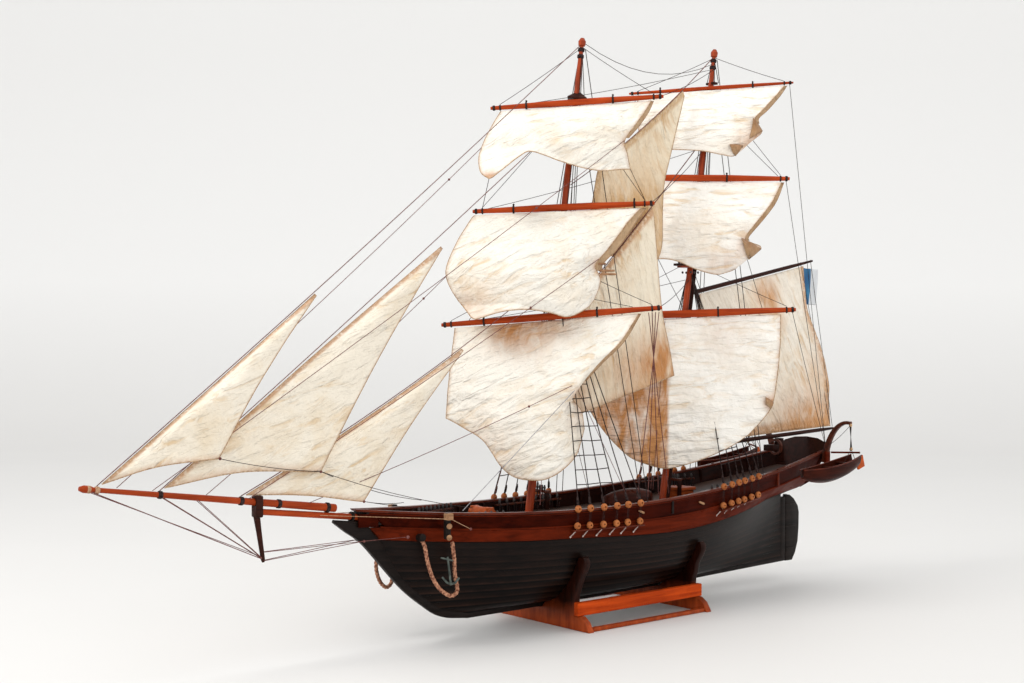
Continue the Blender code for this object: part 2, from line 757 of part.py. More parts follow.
def ride_over(stay, middle, u, z):
    """How far ahead of the yard the cloth must lie to pass over a stay, beside and at a height."""
    x = stay_x(stay, z) - middle.x
    ridge = TO_PORT.x * x - TO_PORT.y * middle.y
    ahead = AHEAD.x * x - AHEAD.y * middle.y
    return ahead + 0.0065 - 0.5 * (math.hypot(u - ridge, 0.020) - 0.020)


def square_sails():
    """The six square sails, hanging under their yards and bellied forward."""
    for name, shape in SQUARE_SAILS.items():
        yard, (left, right), leech_s, foot, leech_p, belly, pull_s, pull_p, stay = shape
        at, _, _, _, rise, radius = YARDS[yard]
        rake = FORE_RAKE if at is fore_at else MAIN_RAKE
        middle = yard_centre(yard)
        below = 1000 * (radius + SAIL_THICK / 2 + GAP)
        head = [Vector((u, below - rise * u)) for u in (left, (left + right) / 2, right)]
        starboard = [head[0]] + [Vector(p) for p in leech_s]
        port = [head[-1]] + [Vector(p) for p in leech_p]
        bottom = [starboard[-1]] + [Vector(p) for p in foot] + [port[-1]]
        rows = patch(head, smooth_path(bottom, 4), smooth_path(starboard, 4), smooth_path(port, 4))
        placed = []
        for j, row in enumerate(rows):
            t = j / (len(rows) - 1)
            line = []
            for i, (u, v) in enumerate(row):
                s = i / (len(row) - 1)
                w = belly * math.sin(math.pi * s) * (1 - (1 - t) ** 2) * (1 - 0.3 * t)
                w += (pull_s * (1 - s) + pull_p * s) * math.sin(math.pi * 0.85 * t)
                w += rake * AHEAD.x * max(v, 0.0)
                if stay and j:
                    w = max(w, 1000 * ride_over(stay, middle, u * 0.001, middle.z - v * 0.001))
                line.append(middle + (TO_PORT * u + AHEAD * w - Vector((0, 0, v))) * 0.001)
            placed.append(line)
        sheet(name, placed, CLOTH)


# Fore-and-aft sails, as (x, z) in the middle plane: luff, then leech, then foot


def flat_sail(name, luff, leech, foot, belly, port, offset=0.0, across=7):
    """A sail between its luff and leech, both from the head down, blown to port at its leech."""
    rows = patch([luff[0], leech[0]], foot, smooth_path(luff, 4), smooth_path(leech, 4), across=across)
    placed = []
    for j, row in enumerate(rows):
        t = j / (len(rows) - 1)
        line = []
        for i, (x, z) in enumerate(row):
            s = i / (across - 1)
            y = offset + port * s * t ** 0.5 + belly * math.sin(math.pi * s) * math.sin(math.pi * t)
            line.append(Vector((x + BLOWN_FORWARD * y, y, z)))
        placed.append(line)
    return sheet(name, placed, CLOTH)


def stays():
    """The main stays that carry the fore-and-aft sails."""
    for name in STAYS:
        line = [stay_point(name, k / 8) for k in range(9)]
        wire(name, [(x, 0.0, z) for x, z in line], STAY_RADIUS, ROPE, resolution=1)


def luff_on(stay, head_x, tack_x, drop=0.0018, count=5):
    """Points under a stay from the head to the tack."""
    return [(x, stay_height(stay, x) - drop) for x in
            (head_x + (tack_x - head_x) * k / (count - 1) for k in range(count))]


def headsails():
    """Three jibs under the stays over the bow, their clews blown to port."""
    outer = [(0.5530, 0.3735), (0.6250, 0.3215), (0.6955, 0.2700), (0.7700, 0.2135), (0.8380, 0.1625)]
    for name, luff, clew, foot, port in (
            ("flying_jib", luff_on("fore_topgallant_stay", 0.6937, 0.8925, 0.0022), (0.7845, 0.1853),
             (0.842, 0.181), 0.014),
            ("outer_jib", outer, (0.6845, 0.1685), (0.765, 0.172), 0.013),
            ("fore_staysail", luff_on("forestay", 0.5270, 0.7620), (0.6391, 0.1385), (0.705, 0.148), 0.010)):
        near_head = (luff[0][0] - 0.0015, luff[0][1] - 0.0015)
        middle = ((near_head[0] + clew[0]) / 2 + 0.004, (near_head[1] + clew[1]) / 2)
        flat_sail(name, luff, [near_head, middle, clew], smooth_path([luff[-1], foot, clew], 4),
                  belly=0.006, port=port)


def mid_staysails():
    """The two staysails between the masts, in planes beside each other."""
    luff = luff_on("main_topgallant_stay", 0.2174, 0.3439, 0.0010)
    flat_sail("upper_staysail", luff + [(0.3551, 0.4259), (0.3660, 0.3800)],
              [(0.2150, 0.5560), (0.2345, 0.4939), (0.2469, 0.4492), (0.2490, 0.3900), (0.2588, 0.3680)],
              [(0.3660, 0.3800), (0.3120, 0.3720), (0.2588, 0.3680)], belly=-0.004, port=-0.003,
              offset=-0.0014)
    luff = luff_on("main_topmast_stay", 0.2655, 0.3960, 0.0022)
    flat_sail("lower_staysail", luff + [(0.4120, 0.2400), (0.4180, 0.1980)],
              [(0.2635, 0.4220), (0.2572, 0.3615), (0.2505, 0.3127), (0.2392, 0.2746), (0.2326, 0.2471)],
              [(0.4180, 0.1980), (0.3550, 0.2133), (0.2326, 0.2471)], belly=0.004, port=0.014,
              offset=0.0008)


# Spanker: gaff, boom, sail and flag on one hinge about the trysail mast


def gaff_axis(x):
    """Height of the gaff's axis."""
    return 0.3390 + 0.2045 * (0.1960 - x)


def boom_axis(x):
    """Height of the boom's axis."""
    return 0.1655 + 0.0455 * (0.2150 - x)


def behind_trysail(z, clear):
    """Ship x just behind the trysail mast."""
    return main_at(z, -TRYSAIL_BEHIND)[0] - TRYSAIL_RADIUS - clear


def spanker():
    """Gaff, boom, sail and flag, swinging about the raked trysail mast."""
    pivot = bpy.data.objects.new("spanker_axis", None)
    pivot.parent = SHIP
    pivot.location = main_at(0.1655, -TRYSAIL_BEHIND)
    PARTS.objects.link(pivot)
    shift = Vector(pivot.location)

    def local(x, z, y=0.0):
        return Vector((x, y, z)) - shift

    gaff_in = behind_trysail(0.339, 0.0010)
    boom_in = behind_trysail(0.1655, 0.0010)
    turned("gaff", local(gaff_in, gaff_axis(gaff_in)), local(-0.0124, gaff_axis(-0.0124)),
           ((0.0, 0.0026), (0.1, 0.0027), (0.8, 0.0022), (1.0, 0.0013)), DARK_SPAR, parent=pivot)
    turned("boom", local(boom_in, boom_axis(boom_in)), local(-0.0556, boom_axis(-0.0556)),
           ((0.0, 0.0026), (0.3, 0.0030), (0.9, 0.0023), (1.0, 0.0014)), DARK_SPAR, parent=pivot)
    head = []
    for k in range(4):
        x = 0.1880 + (0.0049 - 0.1880) * k / 3
        head.append((x, gaff_axis(x) - 0.0036))
    clew_z = boom_axis(-0.0496) + 0.0036
    leech = [head[-1], (-0.0040, 0.3222), (-0.0310, 0.2739), (-0.0440, 0.2371), (-0.0496, clew_z)]
    tack_x = 0.2130
    luff = [head[0], (0.1955, 0.2900), (0.2060, 0.2250), (tack_x, boom_axis(tack_x) + 0.0040)]
    foot = [luff[-1], (0.08, boom_axis(0.08) + 0.0042), leech[-1]]
    rows = patch(head, smooth_path(foot, 4), smooth_path(luff, 4), smooth_path(leech, 4))
    placed = []
    for j, row in enumerate(rows):
        t = j / (len(rows) - 1)
        placed.append([local(x, z, 0.006 * math.sin(math.pi * i / (len(row) - 1)) * math.sin(math.pi * t))
                       for i, (x, z) in enumerate(row)])
    sheet("spanker_sail", placed, CLOTH, parent=pivot)
    flag_y = -0.0016
    rows = [[local(x, z, flag_y) for x in (0.0030, -0.0108, -0.0245)] for z in (0.3725, 0.3510, 0.3296)]
    sheet("flag", rows, FLAG_CLOTH, parent=pivot, thick=0.0008)


# Deck fittings, boats and ground tackle


def deck_fittings():
    """Windlass near the bow, skylight behind the mainmast, and the upturned longboat."""
    x = 0.501
    z = deck_top(x) + 0.0003
    drum = turned("windlass", (x, -0.015, z + 0.0085), (x, 0.015, z + 0.0085),
                  ((0.0, 0.0055), (0.12, 0.0055), (0.2, 0.0068), (0.5, 0.0060), (0.8, 0.0068),
                   (0.88, 0.0055), (1.0, 0.0055)), SPAR, steps=16)
    cheeks = [box(f"windlass_cheek_{k}", (x - 0.0045, y - 0.0015, z), (x + 0.0045, y + 0.0015, z + 0.0150),
                  DARK_SPAR, bevel=0.0005) for k, y in enumerate((-0.0118, 0.0118))]
    combine(drum, cheeks, "UNION")
    z = deck_top(0.2070) + 0.0003
    body = box("skylight", (0.2085, -0.0110, z), (0.2300, 0.0110, z + 0.0100), SPAR, bevel=0.0005)
    lid = box("skylight_lid", (0.2068, -0.0130, z + 0.0090), (0.2317, 0.0130, z + 0.0125), SPAR, bevel=0.0006)
    combine(body, [lid], "UNION")
    rings = []
    for k in range(11):
        share = k / 10
        x = 0.3340 - 0.0680 * share
        low = deck_top(x) + 0.0005
        fore = math.sin(math.pi * (0.10 + 0.84 * share)) ** 0.65
        ring = []
        for j in range(9):
            angle = math.pi * j / 8
            ring.append((x, 0.0135 * fore * math.cos(angle),
                         low + 0.0215 * (0.55 + 0.45 * fore) * math.sin(angle) ** 0.8))
        ring.append((x, 0.0, low))
        rings.append(ring)
    loft("longboat", rings, MAHOGANY)


# Quarter boats: length, half breadth and where they hang
BOAT_FORE_X = 0.1030
BOAT_AFT_X = 0.0030
BOAT_Y = 0.0770
BOAT_HALF = 0.0115


def boat_gunwale(share):
    """Height of the boat's edge; share runs from its bow to its stern."""
    return 0.1378 + 0.0122 * share + 0.0030 * (2 * share - 1) ** 2


def boat_ring(share, side, half, floor_drop, lift):
    """A half-open section of the boat, from one edge round the keel to the other."""
    x = BOAT_FORE_X + (BOAT_AFT_X - BOAT_FORE_X) * share
    shape = math.sin(math.pi * (0.04 + 0.80 * share)) ** 0.7
    top = boat_gunwale(share)
    ring = []
    for j in range(9):
        angle = math.pi * j / 8
        y = side * (BOAT_Y + half * shape * math.cos(angle))
        ring.append((x, y, top + lift - floor_drop * (0.35 + 0.65 * shape) * math.sin(angle) ** 0.75))
    return ring


def quarter_boat(name, side):
    """An open boat: outer hull and inner well as one solid."""
    rings = []
    for k in range(13):
        share = k / 12
        rings.append(boat_ring(share, side, BOAT_HALF, 0.0160, 0.0))
    solid = loft_open(name, rings)
    hollow = []
    for k in range(9):
        share = 0.08 + 0.84 * k / 8
        hollow.append(boat_ring(share, side, BOAT_HALF - 0.0022, 0.0130, 0.0004))
    combine(solid, [loft_open(name + "_well", hollow)], "DIFFERENCE")
    return solid


def loft_open(name, rings):
    """A solid through open sections, closed across their tops."""
    bm = bmesh.new()
    loops = [[bm.verts.new(point) for point in ring] for ring in rings]
    count = len(rings[0])
    for low, high in zip(loops, loops[1:]):
        for k in range(count):
            nxt = (k + 1) % count
            bm.faces.new((low[k], low[nxt], high[nxt], high[k]))
    bm.faces.new(loops[0])
    bm.faces.new(loops[-1])
    return mesh_object(name, bm, MAHOGANY)


def davit(name, side):
    """A curved timber davit on the quarter, with the fall that carries the boat."""
    outline = [(0.0367, 0.1395), (0.0405, 0.1395), (0.0410, 0.1540), (0.0465, 0.1670), (0.0560, 0.1770),
               (0.0680, 0.1850), (0.0785, 0.1885), (0.0800, 0.1915), (0.0755, 0.1935), (0.0640, 0.1920),
               (0.0500, 0.1850), (0.0400, 0.1730), (0.0367, 0.1620)]
    arm = realise(board(name, [(side * y, z) for y, z in outline], 0.0060, DARK_SPAR, across="X",
                        centre=0.0092))
    fall = turned(name + "_fall", (0.0092, side * BOAT_Y, boat_gunwale(0.938) + 0.0004),
                  (0.0092, side * BOAT_Y, 0.1900),
                  ((0.0, 0.0007), (0.15, 0.0007), (0.16, 0.0014), (0.22, 0.0014), (0.23, 0.0006),
                   (1.0, 0.0006)), ROPE, steps=8)
    return combine(arm, [fall], "UNION")


# The anchor cable's route, port side: hawse hole, down, and up to the cathead
CABLE_RADIUS = 0.0021
CABLE_ROUTE = ((0.5885, 0.0232, 0.1030), (0.5885, 0.0262, 0.0950), (0.5870, 0.0280, 0.0830),
               (0.5840, 0.0300, 0.0680), (0.5790, 0.0320, 0.0560), (0.5720, 0.0340, 0.0480),
               (0.5650, 0.0360, 0.0475), (0.5610, 0.0372, 0.0540), (0.5615, 0.0378, 0.0680),
               (0.5620, 0.0380, 0.0830), (0.5630, 0.0378, 0.0940), (0.5640, 0.0370, 0.1005))


def ground_tackle(side, word):
    """One anchor and its hanging cable, from the hawse hole up to the cathead."""
    route = [(x, side * y, z) for x, y, z in CABLE_ROUTE]
    wire("anchor_cable_" + word, route, CABLE_RADIUS, COPPER_CORD, steps=3)
    y = side * 0.0395
    shank = turned("anchor_" + word, (0.5700, y, 0.0590), (0.5740, y, 0.0850),
                   ((0.0, 0.0011), (1.0, 0.0009)), IRON, steps=8)
    arms = realise(wire("anchor_arms_" + word, [(0.5745, y - side * 0.0075, 0.0655), (0.5715, y - side * 0.004, 0.0605),
                                                (0.5702, y, 0.0592), (0.5680, y + side * 0.004, 0.0610),
                                                (0.5665, y + side * 0.0075, 0.0660)], 0.0011, IRON))
    stock = turned("anchor_stock_" + word, (0.5820, y, 0.0850), (0.5644, y, 0.0802),
                   ((0.0, 0.0007), (0.5, 0.0010), (1.0, 0.0007)), IRON, steps=8)
    combine(shank, [arms, stock], "UNION")


# Cradle


def hull_side_at(x, z):
    """Half breadth of the black hull at a height."""
    low = keel_bottom(x) + KEEL_DEPTH
    level = clamp((z - low) / (wale_foot(x) - low))
    return half_breadth(x, z, level)


def cradle_frame(name, x, foot_y, neck_y, horn_y):
    """A cradle frame cut to the hull, with S-curved horns and spread feet."""
    seat = 0.0006
    slot = min(keel_bottom(x - FRAME_THICK / 2), keel_bottom(x + FRAME_THICK / 2)) - GAP
    inner = [(0.0034, slot)]
    top_z = 0.0727
    low_z = max(keel_bottom(x - FRAME_THICK / 2), keel_bottom(x + FRAME_THICK / 2)) + KEEL_DEPTH
    for k in range(11):
        z = low_z - 0.0004 + (top_z - low_z) * (k / 10) ** 1.6
        reach = max(hull_side_at(x + d, z + 0.0008) for d in (-FRAME_THICK / 2, 0.0, FRAME_THICK / 2))
        inner.append((max(reach + seat, 0.0034), z))
    outer = [(horn_y - 0.0030, top_z + 0.0004), (horn_y - 0.0004, 0.0700), (horn_y, 0.0655), (horn_y - 0.0030, 0.0590),
             (horn_y - 0.0085, 0.0500), (neck_y + 0.0030, 0.0400), (neck_y + 0.0003, 0.0340),
             (neck_y, PLANK_HIGH_Z + 0.0010)]
    outer += [(neck_y, PLANK_HIGH_Z), (neck_y, PLANK_LOW_Z - GAP), (PLANK_OUT_Y + 0.0016, PLANK_LOW_Z - GAP),
              (foot_y - 0.0060, 0.0095), (foot_y, 0.0)]
    port = inner + outer
    outline = port + [(-y, z) for y, z in reversed(port)]
    return board(name, outline, FRAME_THICK, CRADLE, across="X", centre=x)


def cradle():
    """Two frames and the two planks that join them."""
    neck = PLANK_IN_Y - GAP
    cradle_frame("stand_fore_frame", FORE_FRAME_X, 0.0733, neck, 0.0672)
    cradle_frame("stand_aft_frame", AFT_FRAME_X, 0.0740, neck, 0.0660)
    for word, side in (("port", 1), ("starboard", -1)):
        low_y, high_y = sorted((side * PLANK_IN_Y, side * PLANK_OUT_Y))
        box("stand_plank_" + word, (0.2475, low_y, PLANK_LOW_Z), (0.4270, high_y, PLANK_HIGH_Z), CRADLE,
            bevel=0.0006)


def build():
    """Every piece of the model."""
    hull_body()
    wale_band()
    deck()
    keel()
    transom()
    rudder()
    for word, side in (("port", 1), ("starboard", -1)):
        bulwark("bulwark_" + word, side)
        cap_rail("cap_rail_" + word, side)
        quarter_boat("quarter_boat_" + word, side)
        davit("davit_" + word, side)
        ground_tackle(side, word)
    masts()
    bow_spars()
    yards()
    square_sails()
    stays()
    headsails()
    mid_staysails()
    spanker()
    deck_fittings()
    cradle()


build()
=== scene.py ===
"""Looks of a two-masted square-rigged ship model on its wooden cradle.

Ship coordinates count x from the transom rail towards the bow, y to port and z up from
the floor; at() moves them into the frame's own coordinates.
"""
import math
import random
from collections import namedtuple

import bmesh
import bpy
from mathutils import Euler, Matrix, Vector, noise


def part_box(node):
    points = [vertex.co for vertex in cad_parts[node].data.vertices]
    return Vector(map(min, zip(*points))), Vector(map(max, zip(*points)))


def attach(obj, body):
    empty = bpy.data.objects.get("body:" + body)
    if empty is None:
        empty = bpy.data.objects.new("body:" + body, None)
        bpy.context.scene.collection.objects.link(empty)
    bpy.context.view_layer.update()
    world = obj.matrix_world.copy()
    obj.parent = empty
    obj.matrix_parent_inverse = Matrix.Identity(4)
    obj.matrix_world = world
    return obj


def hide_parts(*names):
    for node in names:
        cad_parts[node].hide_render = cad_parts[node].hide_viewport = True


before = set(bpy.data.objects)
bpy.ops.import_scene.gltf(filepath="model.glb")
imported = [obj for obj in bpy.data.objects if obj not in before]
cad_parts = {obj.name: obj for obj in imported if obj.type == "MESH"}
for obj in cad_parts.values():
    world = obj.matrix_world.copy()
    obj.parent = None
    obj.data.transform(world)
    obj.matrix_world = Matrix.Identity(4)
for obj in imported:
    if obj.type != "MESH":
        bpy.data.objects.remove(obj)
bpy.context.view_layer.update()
random.seed(7)

# Sizes shared with the solid model, in metres
MIDDLE_X = 0.4275
HULL_LENGTH = 0.650
HALF_BEAM = 0.0653
WIDEST_X = 0.323
SHEER_LOW_X = 0.411
SHEER_LOW_Z = 0.1198
BOW_RISE = 0.0115
STERN_RISE = 0.0373
STEM_HALF = 0.0030
BRACE = math.radians(45)
TO_PORT = Vector((-math.sin(BRACE), math.cos(BRACE), 0.0))
AHEAD = Vector((math.cos(BRACE), math.sin(BRACE), 0.0))
BLOWN_FORWARD = 0.85
CLOTH_THICK = 0.0005
TWINE = 0.00042
THREAD = 0.00032
DECK_PLANK_WIDTH = 0.0052


def at(x, y, z):
    """Ship coordinates as a point of the frame."""
    return Vector((x - MIDDLE_X, y, z))


# Camera


CAMERA_PLACE = (1.3791, 1.0747, 0.2885)
CAMERA_LOOK = (-0.64843, -0.76126, -0.00355)
CAMERA_ROLL = 0.005


def place_camera():
    """A 50 mm view from off the port bow, a little above the deck."""
    camera = bpy.data.cameras.new("view")
    holder = bpy.data.objects.new("view", camera)
    bpy.context.scene.collection.objects.link(holder)
    camera.lens = 50.0
    camera.sensor_width = 36.0
    camera.clip_start = 0.02
    look = Vector(CAMERA_LOOK).normalized()
    right = look.cross(Vector((0.0, 0.0, 1.0))).normalized()
    turn = Matrix((right, right.cross(look), -look)).transposed().to_4x4()
    roll = Matrix.Rotation(CAMERA_ROLL, 4, "Z")
    holder.matrix_world = Matrix.Translation(at(*CAMERA_PLACE)) @ turn @ roll
    bpy.context.scene.camera = holder


place_camera()
bpy.context.scene.view_settings.view_transform = "Standard"


# Materials


def add(tree, kind, settings=None, **sockets):
    """A shader node with its settings, and its sockets linked or set."""
    node = tree.nodes.new("ShaderNode" + kind)
    for key, value in (settings or {}).items():
        setattr(node, key, value)
    for key, value in sockets.items():
        socket = node.inputs[int(key[1:])] if key[0] == "n" and key[1:].isdigit() else node.inputs[key]
        if isinstance(value, bpy.types.NodeSocket):
            tree.links.new(value, socket)
        else:
            socket.default_value = value
    return node


def coordinates(tree, stretch=(1.0, 1.0, 1.0), turn=(0.0, 0.0, 0.0)):
    """The object's coordinates, turned and stretched for a pattern."""
    where = add(tree, "TexCoord").outputs["Object"]
    return add(tree, "Mapping", {"vector_type": "TEXTURE"}, Vector=where, Rotation=turn,
               Scale=tuple(1.0 / s for s in stretch)).outputs[0]


def coordinate(tree, axis, source="Object"):
    """One coordinate, by its number."""
    where = add(tree, "TexCoord").outputs[source]
    return add(tree, "SeparateXYZ", Vector=where).outputs[axis]


def cloud(tree, where, scale, detail=3.0, rough=0.55, distortion=0.0):
    """Soft noise between 0 and 1."""
    return add(tree, "TexNoise", Vector=where, Scale=scale, Detail=detail, Roughness=rough,
               Distortion=distortion).outputs["Fac"]


def ramp(tree, factor, *stops):
    """A colour ramp through (place, colour) stops."""
    node = add(tree, "ValToRGB", Fac=factor)
    points = node.color_ramp.elements
    while len(points) < len(stops):
        points.new(0.5)
    for point, (place, colour) in zip(points, stops):
        point.position = place
        point.color = (*colour, 1.0)
    return node.outputs["Color"]


def level(tree, factor, low, high):
    """A factor spread from low..high to 0..1."""
    return add(tree, "MapRange", {"clamp": True}, Value=factor, n1=low, n2=high).outputs[0]


def blend(tree, factor, one, two, kind="MIX"):
    """Two colours mixed by a factor."""
    node = add(tree, "Mix", {"data_type": "RGBA", "blend_type": kind})
    for place, value in ((0, factor), (6, one), (7, two)):
        if isinstance(value, bpy.types.NodeSocket):
            tree.links.new(value, node.inputs[place])
        else:
            node.inputs[place].default_value = (*value, 1.0) if place else value
    return node.outputs[2]


def calc(tree, kind, one, two=0.0):
    """One sum, product or other operation."""
    return add(tree, "Math", {"operation": kind}, n0=one, n1=two).outputs[0]


def raised(tree, height, distance, strength, under=None):
    """A bump from a height, over another bump if one is given."""
    node = add(tree, "Bump", Height=height, Distance=distance, Strength=strength)
    if under is not None:
        tree.links.new(under, node.inputs["Normal"])
    return node.outputs[0]


def finish(name, colour, roughness, bump=None, **fixed):
    """Build a material by a colour function of its node tree."""
    material = bpy.data.materials.new(name)
    material.use_nodes = True
    tree = material.node_tree
    shader = tree.nodes["Principled BSDF"]
    tree.links.new(colour(tree), shader.inputs["Base Color"])
    if callable(roughness):
        tree.links.new(roughness(tree), shader.inputs["Roughness"])
    else:
        shader.inputs["Roughness"].default_value = roughness
    if bump:
        tree.links.new(bump(tree), shader.inputs["Normal"])
    for socket, value in fixed.items():
        shader.inputs[socket.replace("_", " ")].default_value = value
    return material


def varnished(name, dark, light, turn=(0.0, 0.0, 0.0), rough=0.34, coat=0.03, grain=55.0, shine=0.06):
    """Stained and varnished wood with its grain along x before the turn."""
    stretch = (0.06, 1.0, 1.0)

    def colour(tree):
        where = coordinates(tree, stretch, turn)
        streak = cloud(tree, where, grain * 4, 5.0, 0.6, 0.6)
        shade = ramp(tree, streak, (0.28, dark), (0.72, light))
        wear = level(tree, cloud(tree, coordinates(tree), 22.0, 4.0), 0.55, 0.75)
        return blend(tree, calc(tree, "MULTIPLY", wear, 0.35), shade, tuple(c * 1.5 for c in light))

    def gloss(tree):
        patchy = cloud(tree, coordinates(tree), 60.0, 4.0)
        low, high = rough - 0.08, rough + 0.14
        return add(tree, "MapRange", Value=patchy, n1=0.3, n2=0.7, n3=low, n4=high).outputs[0]

    def bump(tree):
        where = coordinates(tree, stretch, turn)
        return raised(tree, cloud(tree, where, grain * 9, 4.0, 0.7), 0.0002, 0.35)

    return finish(name, colour, gloss, bump, Coat_Weight=coat, Coat_Roughness=0.18, Specular_IOR_Level=shine)


ACROSS = (0.0, 0.0, BRACE + math.pi / 2)
UPRIGHT = (0.0, math.radians(90), 0.0)

mast_wood = varnished("mast_varnish", (0.13, 0.016, 0.005), (0.42, 0.062, 0.016), turn=UPRIGHT, shine=0.14)
yard_wood = varnished("yard_varnish", (0.24, 0.026, 0.005), (0.50, 0.070, 0.013), turn=ACROSS)
boom_wood = varnished("jib_boom_varnish", (0.19, 0.022, 0.005), (0.42, 0.060, 0.013))
dark_wood = varnished("dark_spar_varnish", (0.012, 0.004, 0.003), (0.048, 0.013, 0.008), rough=0.38)
plank_wood = varnished("cradle_plank_varnish", (0.25, 0.020, 0.002), (0.58, 0.072, 0.008), rough=0.30,
                       coat=0.0, shine=0.04)
inner_wood = varnished("bulwark_inside", (0.007, 0.0022, 0.0015), (0.026, 0.006, 0.0035), coat=0.02)
bulwark_wood = varnished("bulwark_mahogany", (0.014, 0.0012, 0.0004), (0.050, 0.0046, 0.0010),
                         coat=0.0, shine=0.02)
band_wood = varnished("band_red_brown", (0.048, 0.0055, 0.0016), (0.130, 0.015, 0.0040),
                      coat=0.0, shine=0.02)
rail_wood = varnished("rail_mahogany", (0.040, 0.006, 0.0025), (0.13, 0.020, 0.007), rough=0.30, shine=0.10)
boat_wood = varnished("boat_mahogany", (0.014, 0.003, 0.0018), (0.056, 0.010, 0.0045), rough=0.30,
                      coat=0.0, shine=0.05)
# The rudders' bright orange is painted light, for the blades' faces that the light strikes
orange_wood = varnished("boat_rudder_orange", (0.30, 0.045, 0.008), (0.60, 0.110, 0.018), rough=0.42,
                        coat=0.05)
skylight_wood = varnished("skylight_varnish", (0.20, 0.034, 0.008), (0.44, 0.090, 0.020), rough=0.36)
davit_wood = varnished("davit_timber", (0.030, 0.008, 0.005), (0.110, 0.026, 0.012), coat=0.05, shine=0.12)
black_wood = varnished("keel_black", (0.0035, 0.0024, 0.0022), (0.017, 0.011, 0.009), rough=0.38,
                       shine=0.08)


def cradle_boards():
    """Boards near black at their heads and varnished orange at their feet; the dark heads are stain together
    with painted shade under the hull.
    """
    def colour(tree):
        streak = cloud(tree, coordinates(tree, (1.0, 1.0, 0.12)), 190.0, 5.0, 0.6, 0.5)
        foot = ramp(tree, streak, (0.3, (0.20, 0.028, 0.006)), (0.7, (0.44, 0.075, 0.016)))
        # The near-black colour of the boards' upper parts: stain together with painted shade under the hull
        head = ramp(tree, streak, (0.3, (0.006, 0.0018, 0.0010)), (0.7, (0.026, 0.0050, 0.0022)))
        height = coordinate(tree, 2)
        ragged = calc(tree, "MULTIPLY", cloud(tree, coordinates(tree), 45.0), 0.022)
        return blend(tree, level(tree, calc(tree, "ADD", height, ragged), 0.016, 0.040), foot, head)

    return finish("cradle_boards", colour, 0.32, None, Coat_Weight=0.03, Coat_Roughness=0.18,
                  Specular_IOR_Level=0.08)


def planked_black():
    """Black-brown varnished strakes read from the strake attribute, each lap a dark seam with painted shade
    and a painted highlight in a band just above it.
    """
    def colour(tree):
        grain = cloud(tree, coordinates(tree, (0.08, 1.0, 1.0)), 150.0, 5.0, 0.6, 0.4)
        shade = ramp(tree, grain, (0.30, (0.0035, 0.0020, 0.0016)), (0.75, (0.017, 0.0090, 0.0065)))
        dust = level(tree, cloud(tree, coordinates(tree), 14.0, 5.0), 0.45, 0.80)
        shade = blend(tree, calc(tree, "MULTIPLY", dust, 0.35), shade, (0.026, 0.0140, 0.0095))
        course = add(tree, "Attribute", {"attribute_name": "strake"}).outputs["Fac"]
        lap = calc(tree, "FRACT", course)
        # Near black at each lap (dark seam and painted shade), full in a band just above it (painted
        # highlight)
        edge = ramp(tree, lap, (0.0, (0.0, 0.0, 0.0)), (0.16, (0.0, 0.0, 0.0)), (0.30, (1.0, 1.0, 1.0)),
                    (0.55, (0.35, 0.35, 0.35)), (1.0, (0.20, 0.20, 0.20)))
        plain = level(tree, course, 5.0, 8.5)
        edge = blend(tree, calc(tree, "MULTIPLY", plain, 0.75), edge, (0.35, 0.35, 0.35))
        # The strake colour brightened, for the painted highlight above each lap
        lit = blend(tree, 1.0, shade, (1.8, 1.5, 1.4), "MULTIPLY")
        return blend(tree, edge, (0.0010, 0.0007, 0.0006), lit)

    def bump(tree):
        return raised(tree, cloud(tree, coordinates(tree, (0.08, 1.0, 1.0)), 260.0, 4.0, 0.7), 0.0003, 0.4)

    return finish("hull_black_strakes", colour, 0.36, bump, Coat_Weight=0.04, Coat_Roughness=0.25,
                  Specular_IOR_Level=0.08)


def deck_planks():
    """Narrow deck planks with dark seams along the ship."""
    def colour(tree):
        row = calc(tree, "DIVIDE", coordinate(tree, 1), DECK_PLANK_WIDTH)
        seam = level(tree, calc(tree, "PINGPONG", row, 0.5), 0.05, 0.0)
        number = calc(tree, "ROUND", row)
        own = add(tree, "TexWhiteNoise", {"noise_dimensions": "1D"}, W=number).outputs["Value"]
        grain = cloud(tree, coordinates(tree, (0.06, 1.0, 1.0)), 230.0, 5.0)
        mixed = calc(tree, "ADD", calc(tree, "MULTIPLY", own, 0.4), calc(tree, "MULTIPLY", grain, 0.6))
        shade = ramp(tree, mixed, (0.25, (0.016, 0.006, 0.004)), (0.75, (0.055, 0.022, 0.011)))
        return blend(tree, seam, shade, (0.008, 0.005, 0.004))

    return finish("deck_planks", colour, 0.5)


frame_wood = cradle_boards()
hull_strakes = planked_black()
decking = deck_planks()


